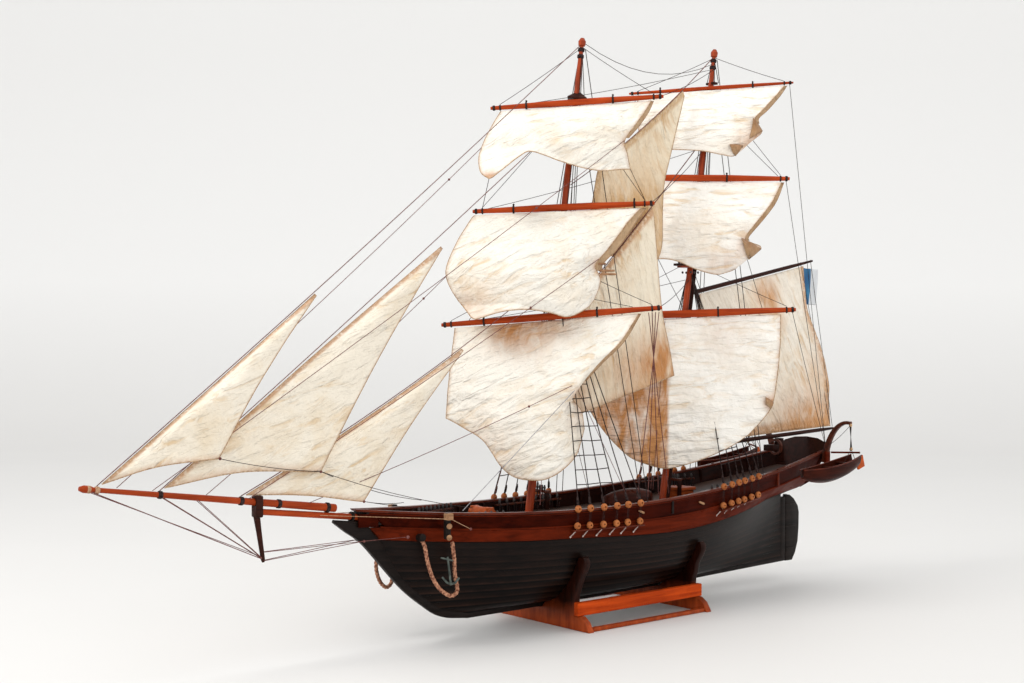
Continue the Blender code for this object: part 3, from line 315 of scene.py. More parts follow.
def linen(name, pale, deep, turn, stain_and_shade=(0.52, 0.24, 0.09)):
    """Aged sailcloth, wrinkled along x before the turn, with painted shade in the valleys of its wrinkles,
    and with stains, painted shade and hems by attribute.
    """
    # The colour of the painted shade in the wrinkles' valleys
    crease_shade_colour = tuple(part * share for part, share in zip(deep, (0.90, 0.78, 0.62)))

    def wrinkles(tree):
        return cloud(tree, coordinates(tree, (0.22, 1.0, 1.0), turn), 125.0, 3.0, 0.55, 0.6)

    def colour(tree):
        where = coordinates(tree)
        old = level(tree, cloud(tree, where, 17.0, 6.0, 0.62, 0.5), 0.46, 0.86)
        shade = blend(tree, old, pale, deep)
        # Painted shade: the valleys of the wrinkles are darkened, in groups
        grouped = level(tree, cloud(tree, where, 16.0, 2.0), 0.36, 0.60)
        crease_shade = calc(tree, "MULTIPLY", level(tree, wrinkles(tree), 0.47, 0.32), grouped)
        shade = blend(tree, calc(tree, "MULTIPLY", crease_shade, 0.75), shade, crease_shade_colour)
        # The attribute holds real stains on most sails, and painted shade on the main course's starboard side
        # and towards the upper staysail's foot
        marked = add(tree, "Attribute", {"attribute_name": "stain_and_shade"}).outputs["Fac"]
        streaks = cloud(tree, coordinates(tree, (1, 1, 0.3)), 75.0, 5.0, 0.6, 0.8)
        ragged = calc(tree, "MULTIPLY", marked, level(tree, streaks, 0.14, 0.56))
        shade = blend(tree, ragged, shade, stain_and_shade)
        hem = add(tree, "Attribute", {"attribute_name": "hem"}).outputs["Fac"]
        spotty = calc(tree, "MULTIPLY", hem, level(tree, cloud(tree, where, 260.0, 3.0), 0.20, 0.50))
        return blend(tree, calc(tree, "MULTIPLY", spotty, 0.75), shade, tuple(c * 0.9 for c in stain_and_shade))

    def bump(tree):
        where = coordinates(tree)
        warp, weft = (add(tree, "TexWave", {"bands_direction": way}, Vector=where, Scale=260.0,
                          Distortion=1.5).outputs["Fac"] for way in ("X", "Z"))
        weave = raised(tree, calc(tree, "MULTIPLY", warp, weft), 0.0002, 0.30)
        crushed = raised(tree, cloud(tree, where, 85.0, 3.0), 0.0036, 0.80, weave)
        return raised(tree, wrinkles(tree), 0.0062, 0.90, crushed)

    return finish(name, colour, 0.88, bump, Sheen_Weight=0.15, Sheen_Roughness=0.5,
                  Specular_IOR_Level=0.2)


SLANTED = (0.0, -0.42, BRACE + math.pi / 2)
LEVEL = (0.0, -0.06, BRACE + math.pi / 2)
fore_linen = linen("sail_linen_fore", (0.89, 0.85, 0.77), (0.80, 0.68, 0.52), SLANTED)
main_linen = linen("sail_linen_main", (0.96, 0.93, 0.87), (0.86, 0.76, 0.63), LEVEL)
jib_linen = linen("sail_linen_jib", (0.86, 0.79, 0.67), (0.76, 0.62, 0.43), (0.0, 0.36, 0.0))
# The upper staysail's cloth is tanner and darker than the lower one's: painted shade, as it hangs in shade
# between the other sails
upper_linen = linen("sail_linen_upper", (0.85, 0.74, 0.57), (0.66, 0.46, 0.26), (0.0, -1.1, 0.0),
                    (0.60, 0.36, 0.16))
sand_linen = linen("sail_linen_sand", (0.86, 0.77, 0.62), (0.68, 0.51, 0.32), (0.0, -1.35, 0.0))
spanker_linen = linen("sail_linen_spanker", (0.90, 0.83, 0.72), (0.74, 0.57, 0.38), (0.0, -1.0, 0.0),
                      (0.60, 0.29, 0.11))
# The folds' tan-brown is painted shade: the same cloth's reverse, turned into shade
shaded_fold_linen = linen("sail_linen_fold_shaded", (0.62, 0.47, 0.30), (0.42, 0.26, 0.13), UPRIGHT, (0.30, 0.14, 0.06))
# The reverse faces: the same cloth, darker and tanner by painted shade
shaded_reverse_linen = linen("sail_linen_reverse_shaded", (0.78, 0.68, 0.53), (0.62, 0.47, 0.31), LEVEL)


def twisted(name, dark, light, scale=500.0, rough=0.8):
    """Twine or cord, mottled along its strands."""
    def colour(tree):
        return ramp(tree, cloud(tree, coordinates(tree), scale, 3.0), (0.35, dark), (0.65, light))
    return finish(name, colour, rough, Specular_IOR_Level=0.08)


dark_twine = twisted("twine_dark", (0.012, 0.008, 0.008), (0.050, 0.032, 0.030))
red_twine = twisted("twine_red_brown", (0.09, 0.030, 0.028), (0.22, 0.095, 0.085))
grey_twine = twisted("twine_grey", (0.18, 0.17, 0.19), (0.40, 0.38, 0.40))
tan_twine = twisted("twine_tan", (0.28, 0.15, 0.08), (0.52, 0.32, 0.20))
hem_twine = twisted("hem_cord", (0.30, 0.17, 0.09), (0.58, 0.42, 0.27))
cable_fibre = twisted("cable_copper", (0.13, 0.040, 0.025), (0.56, 0.28, 0.17), 420.0, 0.6)
bead_wood = varnished("bead_wood", (0.25, 0.065, 0.017), (0.48, 0.17, 0.055), rough=0.36, coat=0.08,
                      grain=40.0)
bead_dull = varnished("bead_dull", (0.16, 0.075, 0.040), (0.46, 0.26, 0.14), rough=0.45, coat=0.0)
block_wood = varnished("block_wood_tan", (0.40, 0.22, 0.10), (0.66, 0.44, 0.26), rough=0.5, coat=0.1)


def metal(name, dark, light, metallic, rough):
    """Dull small metalwork."""
    def colour(tree):
        return ramp(tree, cloud(tree, coordinates(tree), 260.0, 4.0), (0.3, dark), (0.7, light))
    return finish(name, colour, rough, Metallic=metallic)


anchor_metal = metal("anchor_grey_green", (0.030, 0.040, 0.036), (0.14, 0.17, 0.15), 0.6, 0.42)
nail_metal = metal("nail_bright", (0.30, 0.22, 0.20), (0.72, 0.62, 0.58), 0.75, 0.34)
dark_metal = metal("fitting_dark", (0.020, 0.016, 0.016), (0.070, 0.060, 0.060), 0.3, 0.45)


def flag_cloth():
    """Blue at the hoist side, white beyond it."""
    def colour(tree):
        edge = level(tree, coordinate(tree, 0, "UV"), 0.545, 0.555)
        mottle = cloud(tree, coordinates(tree), 60.0)
        blue = ramp(tree, mottle, (0.3, (0.020, 0.090, 0.22)), (0.7, (0.045, 0.20, 0.36)))
        return blend(tree, edge, blue, (0.66, 0.68, 0.70))

    return finish("flag_cloth", colour, 0.85)


flag_blue_white = flag_cloth()


# Makers of pieces


def piece(name, bm, materials, body="ship", nodes=(), angle=38.0, facing=None):
    """Make a bmesh a smooth-shaded piece that rides on a body and stands for nodes."""
    bmesh.ops.recalc_face_normals(bm, faces=bm.faces)
    if facing and sum((face.normal * face.calc_area() for face in bm.faces), Vector()).dot(facing) < 0:
        bmesh.ops.reverse_faces(bm, faces=bm.faces)
    mesh = bpy.data.meshes.new(name)
    bm.to_mesh(mesh)
    bm.free()
    obj = bpy.data.objects.new(name, mesh)
    bpy.context.scene.collection.objects.link(obj)
    for material in (materials if isinstance(materials, (list, tuple)) else (materials,)):
        mesh.materials.append(material)
    mesh.shade_smooth()
    mesh.set_sharp_from_angle(angle=math.radians(angle))
    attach(obj, body)
    if nodes:
        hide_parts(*nodes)
    return obj


def join(target, *others):
    """Add other bmeshes to one and free them."""
    for other in others:
        mesh = bpy.data.meshes.new("joined")
        other.to_mesh(mesh)
        other.free()
        target.from_mesh(mesh)
        bpy.data.meshes.remove(mesh)
    return target


def skin(rows, wrap=False, marks=None):
    """A grid through rows of points, closed round and capped when wrap is set."""
    down, across = len(rows), len(rows[0]) + (1 if wrap else 0)
    bm = bmesh.new()
    bm.loops.layers.uv.new("UVMap")
    layers = {name: bm.verts.layers.float.new(name) for name in (marks or {})}
    bmesh.ops.create_grid(bm, x_segments=across - 1, y_segments=down - 1, size=0.5, calc_uvs=True)
    for vert in bm.verts:
        column = round((vert.co.x + 0.5) * (across - 1)) % len(rows[0])
        row = round((vert.co.y + 0.5) * (down - 1))
        for name, layer in layers.items():
            vert[layer] = marks[name][row][column]
        vert.co = rows[row][column]
    if wrap:
        bmesh.ops.remove_doubles(bm, verts=bm.verts, dist=0.000002)
        bmesh.ops.holes_fill(bm, edges=[edge for edge in bm.edges if edge.is_boundary], sides=0)
    return bm


def turned(start, end, profile, segments=18, bored=False):
    """A bmesh turned about the line from start to end; profile holds (share, radius) pairs."""
    start, end = Vector(start), Vector(end)
    length = (end - start).length
    bm = bmesh.new()
    verts = [bm.verts.new((radius, 0.0, share * length)) for share, radius in profile]
    edges = [bm.edges.new(pair) for pair in zip(verts, verts[1:])]
    if bored:
        edges.append(bm.edges.new((verts[-1], verts[0])))
    bmesh.ops.spin(bm, geom=verts + edges, cent=(0, 0, 0), axis=(0, 0, 1), dvec=(0, 0, 0),
                   angle=2 * math.pi, steps=segments, use_merge=True)
    bmesh.ops.remove_doubles(bm, verts=bm.verts, dist=0.000002)
    bmesh.ops.holes_fill(bm, edges=[edge for edge in bm.edges if edge.is_boundary], sides=0)
    turn = (end - start).to_track_quat("Z", "Y").to_matrix().to_4x4()
    bmesh.ops.transform(bm, matrix=Matrix.Translation(start) @ turn, verts=bm.verts)
    return bm


def ball(centre, radius, axis=(0.0, 1.0, 0.0), bore=0.0):
    """A flattened bead; bored along its axis when bore is given."""
    axis = Vector(axis).normalized() * radius * 0.8
    degrees = (26, 50, 74, 90, 106, 130, 154) if bore else range(0, 181, 30)
    rounds = [(0.5 - 0.5 * math.cos(a), radius * math.sin(a)) for a in map(math.radians, degrees)]
    if bore:
        rounds = [(0.04, bore)] + rounds + [(0.96, bore)]
    return turned(centre - axis, centre + axis, rounds, 12, bored=bool(bore))


def round_edges(bm, edges, offset, clamp_overlap=False):
    """Round off edges in two steps."""
    bmesh.ops.bevel(bm, geom=edges, offset=offset, segments=2, profile=0.5, affect="EDGES", material=-1,
                    clamp_overlap=clamp_overlap)


def block(centre, size, turn=(0.0, 0.0, 0.0), bevel=0.0004):
    """A small box with bevelled edges."""
    bm = bmesh.new()
    bmesh.ops.create_cube(bm, size=1.0)
    bmesh.ops.scale(bm, vec=size, verts=bm.verts)
    round_edges(bm, bm.edges[:], bevel)
    place = Matrix.Translation(centre) @ Euler(turn).to_matrix().to_4x4()
    bmesh.ops.transform(bm, matrix=place, verts=bm.verts)
    return bm


def board(outline, thick):
    """A board cut to an outline of ship x and z, with softened edges."""
    bm = bmesh.new()
    face = bm.faces.new([bm.verts.new(at(x, -thick / 2, z)) for x, z in outline])
    grown = bmesh.ops.extrude_face_region(bm, geom=[face])["geom"]
    bmesh.ops.translate(bm, vec=(0, thick, 0), verts=[v for v in grown if isinstance(v, bmesh.types.BMVert)])
    round_edges(bm, bm.edges[:], 0.0004)
    return bm


def direction(path, k):
    """Unit vector along a path at its point k."""
    return (path[min(k + 1, len(path) - 1)] - path[max(k - 1, 0)]).normalized()


def squared(value):
    """A sine or cosine pushed outwards, for a section between round and square."""
    return abs(value) ** 0.4 * math.copysign(1, value)


def swept(path, sizes):
    """A bar of rounded square section along a path; sizes hold (width, depth) at each point."""
    rows = []
    across = Vector((1, 0, 0))
    for k, (centre, (width, depth)) in enumerate(zip(path, sizes)):
        side = direction(path, k).cross(across).normalized()
        half, deep = across * width / 2, side * depth / 2
        rows.append([centre + half * squared(math.cos(a)) + deep * squared(math.sin(a))
                     for a in (math.radians(15 + 30 * n) for n in range(12))])
    return skin(rows, wrap=True)


def softened(node, material, bevel=0.0, body="ship", sharp=35.0, extra=()):
    """The node's own shape, its edges rounded and its curves shaded smooth."""
    bm = bmesh.new()
    bm.from_mesh(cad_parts[node].data)
    bmesh.ops.remove_doubles(bm, verts=bm.verts, dist=0.000002)
    bmesh.ops.dissolve_limit(bm, angle_limit=math.radians(0.8), verts=bm.verts, edges=bm.edges)
    if bevel:
        hard = [e for e in bm.edges if e.is_manifold and e.calc_face_angle(0.0) > math.radians(sharp)]
        round_edges(bm, hard, bevel, clamp_overlap=True)
    join(bm, *extra)
    return piece(node + "_look", bm, material, body, (node,), sharp)


def sag(start, end, drop=0.0):
    """Points from start to end, hanging by drop in the middle."""
    if not drop:
        return [start, end]
    return [start.lerp(end, share) - Vector((0, 0, 4 * drop * share * (1 - share)))
            for share in (k / 9 for k in range(10))]


def cordage(name, lines, radius, material, body="ship", nodes=()):
    """Lengths of line as one curve of round section."""
    curve = bpy.data.curves.new(name, "CURVE")
    curve.dimensions = "3D"
    curve.bevel_depth = radius
    curve.bevel_resolution = 1
    curve.use_fill_caps = True
    for line in lines:
        spline = curve.splines.new("POLY")
        spline.points.add(len(line) - 1)
        for point, co in zip(spline.points, line):
            point.co = (*co, 1.0)
    curve.materials.append(material)
    obj = bpy.data.objects.new(name, curve)
    bpy.context.scene.collection.objects.link(obj)
    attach(obj, body)
    if nodes:
        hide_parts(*nodes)
    return obj


def smooth_path(points, steps):
    """Points of a Catmull-Rom curve through the given points."""
    pts = [Vector(p) for p in points]
    ends = [2 * pts[0] - pts[1]] + pts + [2 * pts[-1] - pts[-2]]
    path = []
    for a, b, c, d in zip(ends, ends[1:], ends[2:], ends[3:]):
        for k in range(steps):
            t = k / steps
            path.append(0.5 * (2 * b + (c - a) * t + (2 * a - 5 * b + 4 * c - d) * t ** 2
                               + (3 * b - a - 3 * c + d) * t ** 3))
    path.append(pts[-1])
    return path


def resample(points, count):
    """The same polyline as count points evenly spaced along it."""
    pts = [Vector(p) for p in points]
    spans = [(b - a).length for a, b in zip(pts, pts[1:])]
    total = sum(spans)
    result = []
    for k in range(count):
        left = total * k / (count - 1)
        index = 0
        while index < len(spans) - 1 and left > spans[index]:
            left -= spans[index]
            index += 1
        result.append(pts[index].lerp(pts[index + 1], min(1.0, left / max(spans[index], 1e-9))))
    return result


def patch(head, foot, left, right, across, down):
    """Rows of points of a Coons patch between four edges that share their corners."""
    top, bottom = resample(head, across), resample(foot, across)
    one, two = resample(left, down), resample(right, down)
    rows = []
    for j in range(down):
        t = j / (down - 1)
        row = []
        for i in range(across):
            s = i / (across - 1)
            ruled = top[i] * (1 - t) + bottom[i] * t + one[j] * (1 - s) + two[j] * s
            corner = (top[0] * (1 - s) + top[-1] * s) * (1 - t) + (bottom[0] * (1 - s) + bottom[-1] * s) * t
            row.append(ruled - corner)
        rows.append(row)
    return rows


# Hull lines, as in the solid model


def clamp(value, low=0.0, high=1.0):
    """Value kept between low and high."""
    return max(low, min(high, value))


def ease(start, end, value):
    """Smooth step from 0 at start to 1 at end; start may be the larger."""
    t = clamp((value - start) / (end - start))
    return t * t * (3.0 - 2.0 * t)


def along(points, value, axis=0):
    """Linear reading of the other coordinate of a rising 2D polyline at value."""
    for low, high in zip(points, points[1:]):
        if value <= high[axis]:
            break
    t = (value - low[axis]) / (high[axis] - low[axis])
    return low[1 - axis] + t * (high[1 - axis] - low[1 - axis])


def rail_height(x):
    """Top of the cap rail."""
    if x > SHEER_LOW_X:
        return SHEER_LOW_Z + BOW_RISE * ((x - SHEER_LOW_X) / (HULL_LENGTH - SHEER_LOW_X)) ** 2
    return SHEER_LOW_Z + STERN_RISE * ((SHEER_LOW_X - x) / SHEER_LOW_X) ** 2


def bulwark_foot(x):
    """Lower edge of the upper band."""
    return rail_height(x) - 0.0165 - 0.0038 * ease(0.45, 0.25, x)


def deck_top(x):
    """Upper face of the deck."""
    return bulwark_foot(x) + 0.0023


def wale_foot(x):
    """Lower edge of the lower band."""
    return bulwark_foot(x) - 0.0113 - 0.0045 * ease(0.45, 0.25, x)


def keel_bottom(x):
    """Underside of the keel."""
    return 0.0161 + 0.0085 * clamp((0.520 - x) / 0.4802) ** 1.8


RABBET_CURVE = ((0.5195, 0.0224), (0.5497, 0.0278), (0.5720, 0.0413), (0.5943, 0.0587),
                (0.6115, 0.0800), (0.6238, 0.1003))
RABBET = [tuple(p) for p in smooth_path(RABBET_CURVE, 5)]


def bow_end(z):
    """Where the planking meets the stem."""
    if z < RABBET_CURVE[0][1]:
        return RABBET_CURVE[0][0]
    if z < RABBET_CURVE[-1][1]:
        return along(RABBET, z, axis=1)
    return RABBET_CURVE[-1][0] + 0.93 * (z - RABBET_CURVE[-1][1])


STERNPOST_X = 0.0482
TUCK_FOOT = 0.1045
TUCK_HEAD = 0.1130
# Half breadth of the planking's after end against height
STERN_BREADTHS = ((0.0, STEM_HALF), (TUCK_FOOT, STEM_HALF), (TUCK_HEAD, 0.020), (0.121, 0.0285),
                  (0.157, 0.034), (0.2, 0.036))


def stern_end(z):
    """Where the planking ends aft."""
    if z < TUCK_FOOT:
        return STERNPOST_X
    transom = 0.0055 + 0.66 * (0.1570 - max(z, TUCK_HEAD))
    if z < TUCK_HEAD:
        return STERNPOST_X + (transom - STERNPOST_X) * (z - TUCK_FOOT) / (TUCK_HEAD - TUCK_FOOT)
    return transom


def half_breadth(x, z, rise=1.0):
    """Half breadth of the planking; rise runs from 0 at the keel to 1 at the wale."""
    fullness = (1.0 - (1.0 - rise) ** 1.55) ** 0.5 if rise < 1.0 else 1.0
    widest = STEM_HALF + (HALF_BEAM - STEM_HALF) * fullness
    if x > WIDEST_X:
        run = clamp((x - WIDEST_X) / (bow_end(z) - WIDEST_X))
        return STEM_HALF + (widest - STEM_HALF) * (1.0 - run ** 2.4) ** (1.25 - 0.25 * rise)
    run = clamp((WIDEST_X - x) / (WIDEST_X - stern_end(z)))
    end = min(along(STERN_BREADTHS, z), widest)
    return end + (widest - end) * (1.0 - run ** 2.2) ** (2.2 - 1.2 * rise)


def on_hull(station, height):
    """Ship x and z at a share of the length, where z follows a height function of x."""
    x = HULL_LENGTH * station
    for _ in range(12):
        z = height(x)
        x = stern_end(z) + station * (bow_end(z) - stern_end(z))
    return x, z


STRAKES = 10
STATIONS = 70


def hull_planking():
    """The black hull as lapped strakes from keel to wale."""
    steps = [strake + share for strake in range(STRAKES) for share in (0.0, 0.35, 0.7, 0.97)] + [STRAKES]
    rows, laps = [], []
    for k in range(STATIONS + 1):
        station = 0.5 - 0.5 * math.cos(math.pi * k / STATIONS)
        port = []
        for step in steps:
            rise = step / STRAKES

            def height(x, rise=rise):
                low = keel_bottom(x) + 0.0048
                return low + rise * (wale_foot(x) - 0.0003 - low)
            x, z = on_hull(station, height)
            lap = 0.0022 * (1.0 - step % 1.0) * (1.0 - 0.8 * ease(0.35, 0.75, rise))
            y = half_breadth(x, z, rise)
            port.append(at(x, y + (lap - 0.0003) * clamp((y - STEM_HALF) / 0.004), z))
        rows.append(port + [Vector((p.x, -p.y, p.z)) for p in reversed(port)])
        laps.append(steps + steps[::-1])
    bm = skin(rows, wrap=True, marks={"strake": laps})
    piece("hull_planking", bm, hull_strakes, nodes=("hull_body",), angle=28.0)


def inner_faces(obj, material):
    """Give the faces that look inboard a material of their own."""
    obj.data.materials.append(material)
    for face in obj.data.polygons:
        x, y, z = face.center
        ship_x = x + MIDDLE_X
        inboard = abs(y) < half_breadth(ship_x, z) - 0.0012 and face.normal.y * y < 0.0
        if inboard or face.normal.x > 0.6 and ship_x < 0.06:
            face.material_index = 1


def hull_parts():
    """The rest of the hull, each node's own shape with softened edges."""
    sternpost_strip = block(at(0.03982, 0.0, 0.0635), (0.00115, 0.0014, 0.0770))
    softened("keel", black_wood, 0.0008, extra=(sternpost_strip,))
    softened("wale_band", band_wood, 0.0004)
    inner_faces(softened("transom", bulwark_wood, 0.0005), inner_wood)
    for word in ("port", "starboard"):
        inner_faces(softened("bulwark_" + word, bulwark_wood), inner_wood)
        softened("cap_rail_" + word, rail_wood, 0.0004)
    softened("deck", decking)
    softened("rudder", black_wood, 0.0006, body="rudder")
    straps = bmesh.new()
    for z in (0.040, 0.066, 0.092):
        join(straps, block(at(0.0290, 0.0, z), (0.0190, 0.0054, 0.0024)))
    piece("rudder_straps", straps, black_wood, "rudder")


def rabbet_filler():
    """A dark strip that closes the joint between the planking, the keel and the stem."""
    line = [(x, keel_bottom(x) + 0.0060) for x in (0.06 + 0.0459 * k for k in range(11))] + RABBET[2:]
    rows = []
    for k, (x, z) in enumerate(line):
        ahead, behind = line[min(k + 1, len(line) - 1)], line[max(k - 1, 0)]
        run = Vector((ahead[0] - behind[0], 0.0, ahead[1] - behind[1])).normalized()
        out = Vector((-run.z, 0.0, run.x)) * 0.0018
        corners = ((1, 1), (1, -1), (-1, -1), (-1, 1))
        rows.append([at(x, 0.0, z) + out * a + Vector((0, 0.0028 * b, 0)) for a, b in corners])
    return skin(rows, wrap=True)


def moulding(side, height, size):
    """A half-round strip along the planking at a height."""
    rows = []
    for k in range(61):
        x, z = on_hull(0.02 + 0.965 * k / 60, height)
        y = half_breadth(x, z)
        rows.append([at(x, side * (y + size * (0.2 + math.cos(turn))), z + size * math.sin(turn))
                     for turn in (math.radians(d) for d in (-90, -45, 0, 45, 90, 180))])
    return skin(rows, wrap=True)


def side_mouldings():
    """Half-round strips along both sides."""
    strips = bmesh.new()
    for side in (1, -1):
        join(strips, moulding(side, lambda x: bulwark_foot(x) + 0.0006, 0.0010),
             moulding(side, lambda x: rail_height(x) - 0.0032, 0.0006))
    piece("side_mouldings", strips, band_wood)


def stem_head():
    """Timbers and cheeks at the head of the stem."""
    wedge = board([(0.6728, 0.1228), (0.6396, 0.1160), (0.6290, 0.1160), (0.6290, 0.1176), (0.6400, 0.1187),
                   (0.6580, 0.1210)], 0.0056)
    head = join(wedge, rabbet_filler(), block(at(0.6450, 0.0, 0.1275), (0.0080, 0.0080, 0.0030)),
                collar(sprit_at(0.6540), (1, 0, 0.124), 0.0038, 0.0014, 0.0010))
    cheeks = bmesh.new()
    for side in (1, -1):
        join(cheeks, block(at(0.6400, side * 0.0066, 0.1205), (0.0190, 0.0030, 0.0120), (0, 0, -side * 0.25)))
    piece("stem_head_timbers", head, black_wood)
    piece("bow_cheeks", cheeks, bulwark_wood)


def catheads():
    """Catheads with their beads, battens, hawse pipes and the small toggles on the side."""
    heads, beads, posts = (bmesh.new() for _ in range(3))
    for side in (1, -1):
        join(beads, block(at(0.5765, side * 0.0440, 0.1228), (0.0062, 0.0070, 0.0060)))
        for z in (0.1140, 0.1035):
            join(beads, ball(at(0.5765, side * 0.0452, z), 0.0028, (0.2, side, 0)))
        join(posts, block(at(0.5765, side * 0.0420, 0.1140), (0.0056, 0.0040, 0.0240)))
        for x, z, long in ((0.1100, 0.1310, 0.0190), (0.3005, 0.1130, 0.0130)):
            y = half_breadth(x, z)
            join(heads if long > 0.015 else posts, block(at(x, side * y, z), (0.0030, 0.0022, long)))
        join(posts, turned(at(0.5953, side * 0.0235, 0.1030), at(0.5953, side * 0.0300, 0.1035),
                           ((0, 0.0036), (1, 0.0036))))
        for x, z in ((0.2550, 0.1141), (0.3471, 0.1118)):
            y = half_breadth(x, z) + 0.0012
            join(beads, turned(at(x - 0.004, side * y, z - 0.0015), at(x + 0.004, side * y, z + 0.0015),
                               ((0, 0.0006), (0.15, 0.0012), (0.85, 0.0012), (1, 0.0006)), 8))
    piece("cathead_blocks", heads, rail_wood)
    piece("cathead_beads", beads, bead_dull)
    piece("cathead_posts", posts, black_wood)


# Masts and spars


FORE_RAKE = 0.151
MAIN_RAKE = 0.168


def fore_at(z, ahead=0.0, y=0.0):
    """A point on the foremast's axis, or beside it."""
    return at(0.4395 - FORE_RAKE * (z - 0.1164) + ahead, y, z)


def main_at(z, ahead=0.0, y=0.0):
    """A point on the mainmast's axis, or beside it."""
    return at(0.2466 - MAIN_RAKE * (z - 0.1129) + ahead, y, z)


def jib_at(x, above=0.0, y=0.0):
    """A point on the jib boom's axis, or above it."""
    return at(x, y, 0.1336 + 0.1375 * (x - 0.6716) + above)


def sprit_at(x, above=0.0, y=0.0):
    """A point on the bowsprit's axis, or above it."""
    return at(x, y, 0.1215 + 0.124 * (x - 0.6312) + above)


def gaff_at(x, above=0.0):
    """A point on the gaff's axis, or above it."""
    return at(x, 0.0, 0.3390 + 0.2045 * (0.1960 - x) + above)


def boom_at(x, above=0.0):
    """A point on the spanker boom's axis, or above it."""
    return at(x, 0.0, 0.1655 + 0.0455 * (0.2150 - x) + above)


# A yard's mast, height, length to starboard and to port, rise to port, radius and gap to its mast
Yard = namedtuple("Yard", "mast height starboard port rise radius gap")
YARDS = {
    "fore_course": Yard(fore_at, 0.3090, 0.1125, 0.1115, 0.083, 0.0037, 0.0046),
    "fore_topsail": Yard(fore_at, 0.4203, 0.0940, 0.0915, 0.044, 0.0036, 0.0046),
    "fore_topgallant": Yard(fore_at, 0.5290, 0.0890, 0.0887, 0.062, 0.0034, 0.0046),
    "main_course": Yard(main_at, 0.3144, 0.1205, 0.1205, 0.042, 0.0042, 0.0040),
    "main_topsail": Yard(main_at, 0.4657, 0.0975, 0.0970, -0.011, 0.0038, 0.0046),
    "main_topgallant": Yard(main_at, 0.5680, 0.0930, 0.0900, 0.060, 0.0023, 0.0046),
}


def yard_middle(name):
    """Middle of a yard, ahead of its mast."""
    yard = YARDS[name]
    return yard.mast(yard.height) + AHEAD * (yard.gap + yard.radius)


def yard_run(name):
    """Direction of a yard, to port."""
    return TO_PORT + Vector((0.0, 0.0, YARDS[name].rise))


def yard_at(name, u, above=0.0, ahead=0.0):
    """A point beside a yard's axis, u metres to port of its middle."""
    run = yard_run(name).normalized()
    return yard_middle(name) + run * u + Vector((0.0, 0.0, above)) + AHEAD * ahead


def yard_arms(name, inset):
    """Starboard and port places near a yard's ends, each with its side."""
    yard = YARDS[name]
    return ((-yard.starboard + inset, -1), (yard.port - inset, 1))


def collar(centre, axis, radius, half, thick):
    """A wrap of cord or a band round a spar."""
    axis = Vector(axis).normalized() * half
    rounds = ((0.0, 0.0), (0.15, 1.0), (0.5, 1.15), (0.85, 1.0), (1.0, 0.0))
    return turned(centre - axis, centre + axis, [(share, radius + thick * out) for share, out in rounds], 14)


# Radius of a topmast against its height, with the knob at its head
POLE_PROFILE = ((0.0, 0.0035), (0.5, 0.0033), (0.80, 0.0029), (0.962, 0.0021), (0.966, 0.0036),
                (0.985, 0.0040), (1.0, 0.0020))


def spars():
    """Masts, yards, booms and gaff."""
    for word, mast in (("fore", fore_at), ("main", main_at)):
        softened(word + "_lower_mast", mast_wood, sharp=30.0)
        low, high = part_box(word + "_topmast")
        pole = turned(mast(low[2]), mast(high[2], 0.0030), POLE_PROFILE, 24)
        piece(word + "_topmast_pole", pole, mast_wood, nodes=(word + "_topmast",), angle=30.0)
    softened("trysail_mast", dark_wood)
    softened("bowsprit", boom_wood, sharp=50.0)
    softened("jib_boom", boom_wood, sharp=50.0)
    softened("dolphin_striker", dark_wood, 0.0003, sharp=50.0)
    for name in YARDS:
        softened(name + "_yard", yard_wood, sharp=50.0)
    for node in ("gaff", "boom"):
        softened(node, dark_wood, body="spanker", sharp=50.0)


def seizings():
    """Dark robands and brown wraps along the spars."""
    dark, tan = bmesh.new(), bmesh.new()
    for name, places in (("fore_topgallant", (-0.052, 0.037)), ("fore_topsail", (-0.052, 0.071)),
                         ("fore_course", (-0.069, 0.046)), ("main_topgallant", (-0.058, 0.045)),
                         ("main_topsail", (0.028,)), ("main_course", (0.036,))):
        run, radius = yard_run(name), YARDS[name].radius
        for u in places:
            join(dark, collar(yard_at(name, u), run, radius * 0.98, 0.0010, 0.0006),
                 ball(yard_at(name, u, radius + 0.0014), 0.0012))
        for inset, share, half, thick in ((0.010, 0.74, 0.0009, 0.0005), (0.0035, 0.62, 0.0014, 0.0006)):
            for u, _ in yard_arms(name, inset):
                join(dark, collar(yard_at(name, u), run, radius * share, half, thick))
    for mast, z, radius in ((fore_at, 0.585, 0.0024), (fore_at, 0.578, 0.0024), (main_at, 0.600, 0.0024),
                            (main_at, 0.592, 0.0024)):
        join(dark, collar(mast(z, 0.0028), (0.15, 0.0, -1.0), radius, 0.0022, 0.0010))
    for x, radius in ((0.9040, 0.0024), (0.8967, 0.0023), (0.8423, 0.0026), (0.7671, 0.0031),
                      (0.7300, 0.0033), (0.6800, 0.0038)):
        join(tan if x > 0.85 else dark, collar(jib_at(x), (1.0, 0.0, 0.1375), radius, 0.0020, 0.0007))
    piece("seizings_dark", dark, dark_twine)
    piece("seizings_tan", tan, tan_twine)


# Sails

STAYS = {
    "forestay": ((0.7671, 0.15097), (0.4094, 0.3520), 0.0090),
    "fore_topmast_stay": ((0.8423, 0.16067), (0.3845, 0.5190), 0.0025),
    "fore_topgallant_stay": ((0.8967, 0.16795), (0.3749, 0.5880), 0.0040),
    "main_topmast_stay": ((0.4072, 0.2960), (0.1862, 0.5080), 0.0020),
    "main_topgallant_stay": ((0.3851, 0.4450), (0.1702, 0.6020), 0.0080),
}


def stay_point(name, t):
    """Ship x and z at a share of a stay, from its lower end."""
    (low_x, low_z), (high_x, high_z), drop = STAYS[name]
    return low_x + (high_x - low_x) * t, low_z + (high_z - low_z) * t - 4 * drop * t * (1 - t)


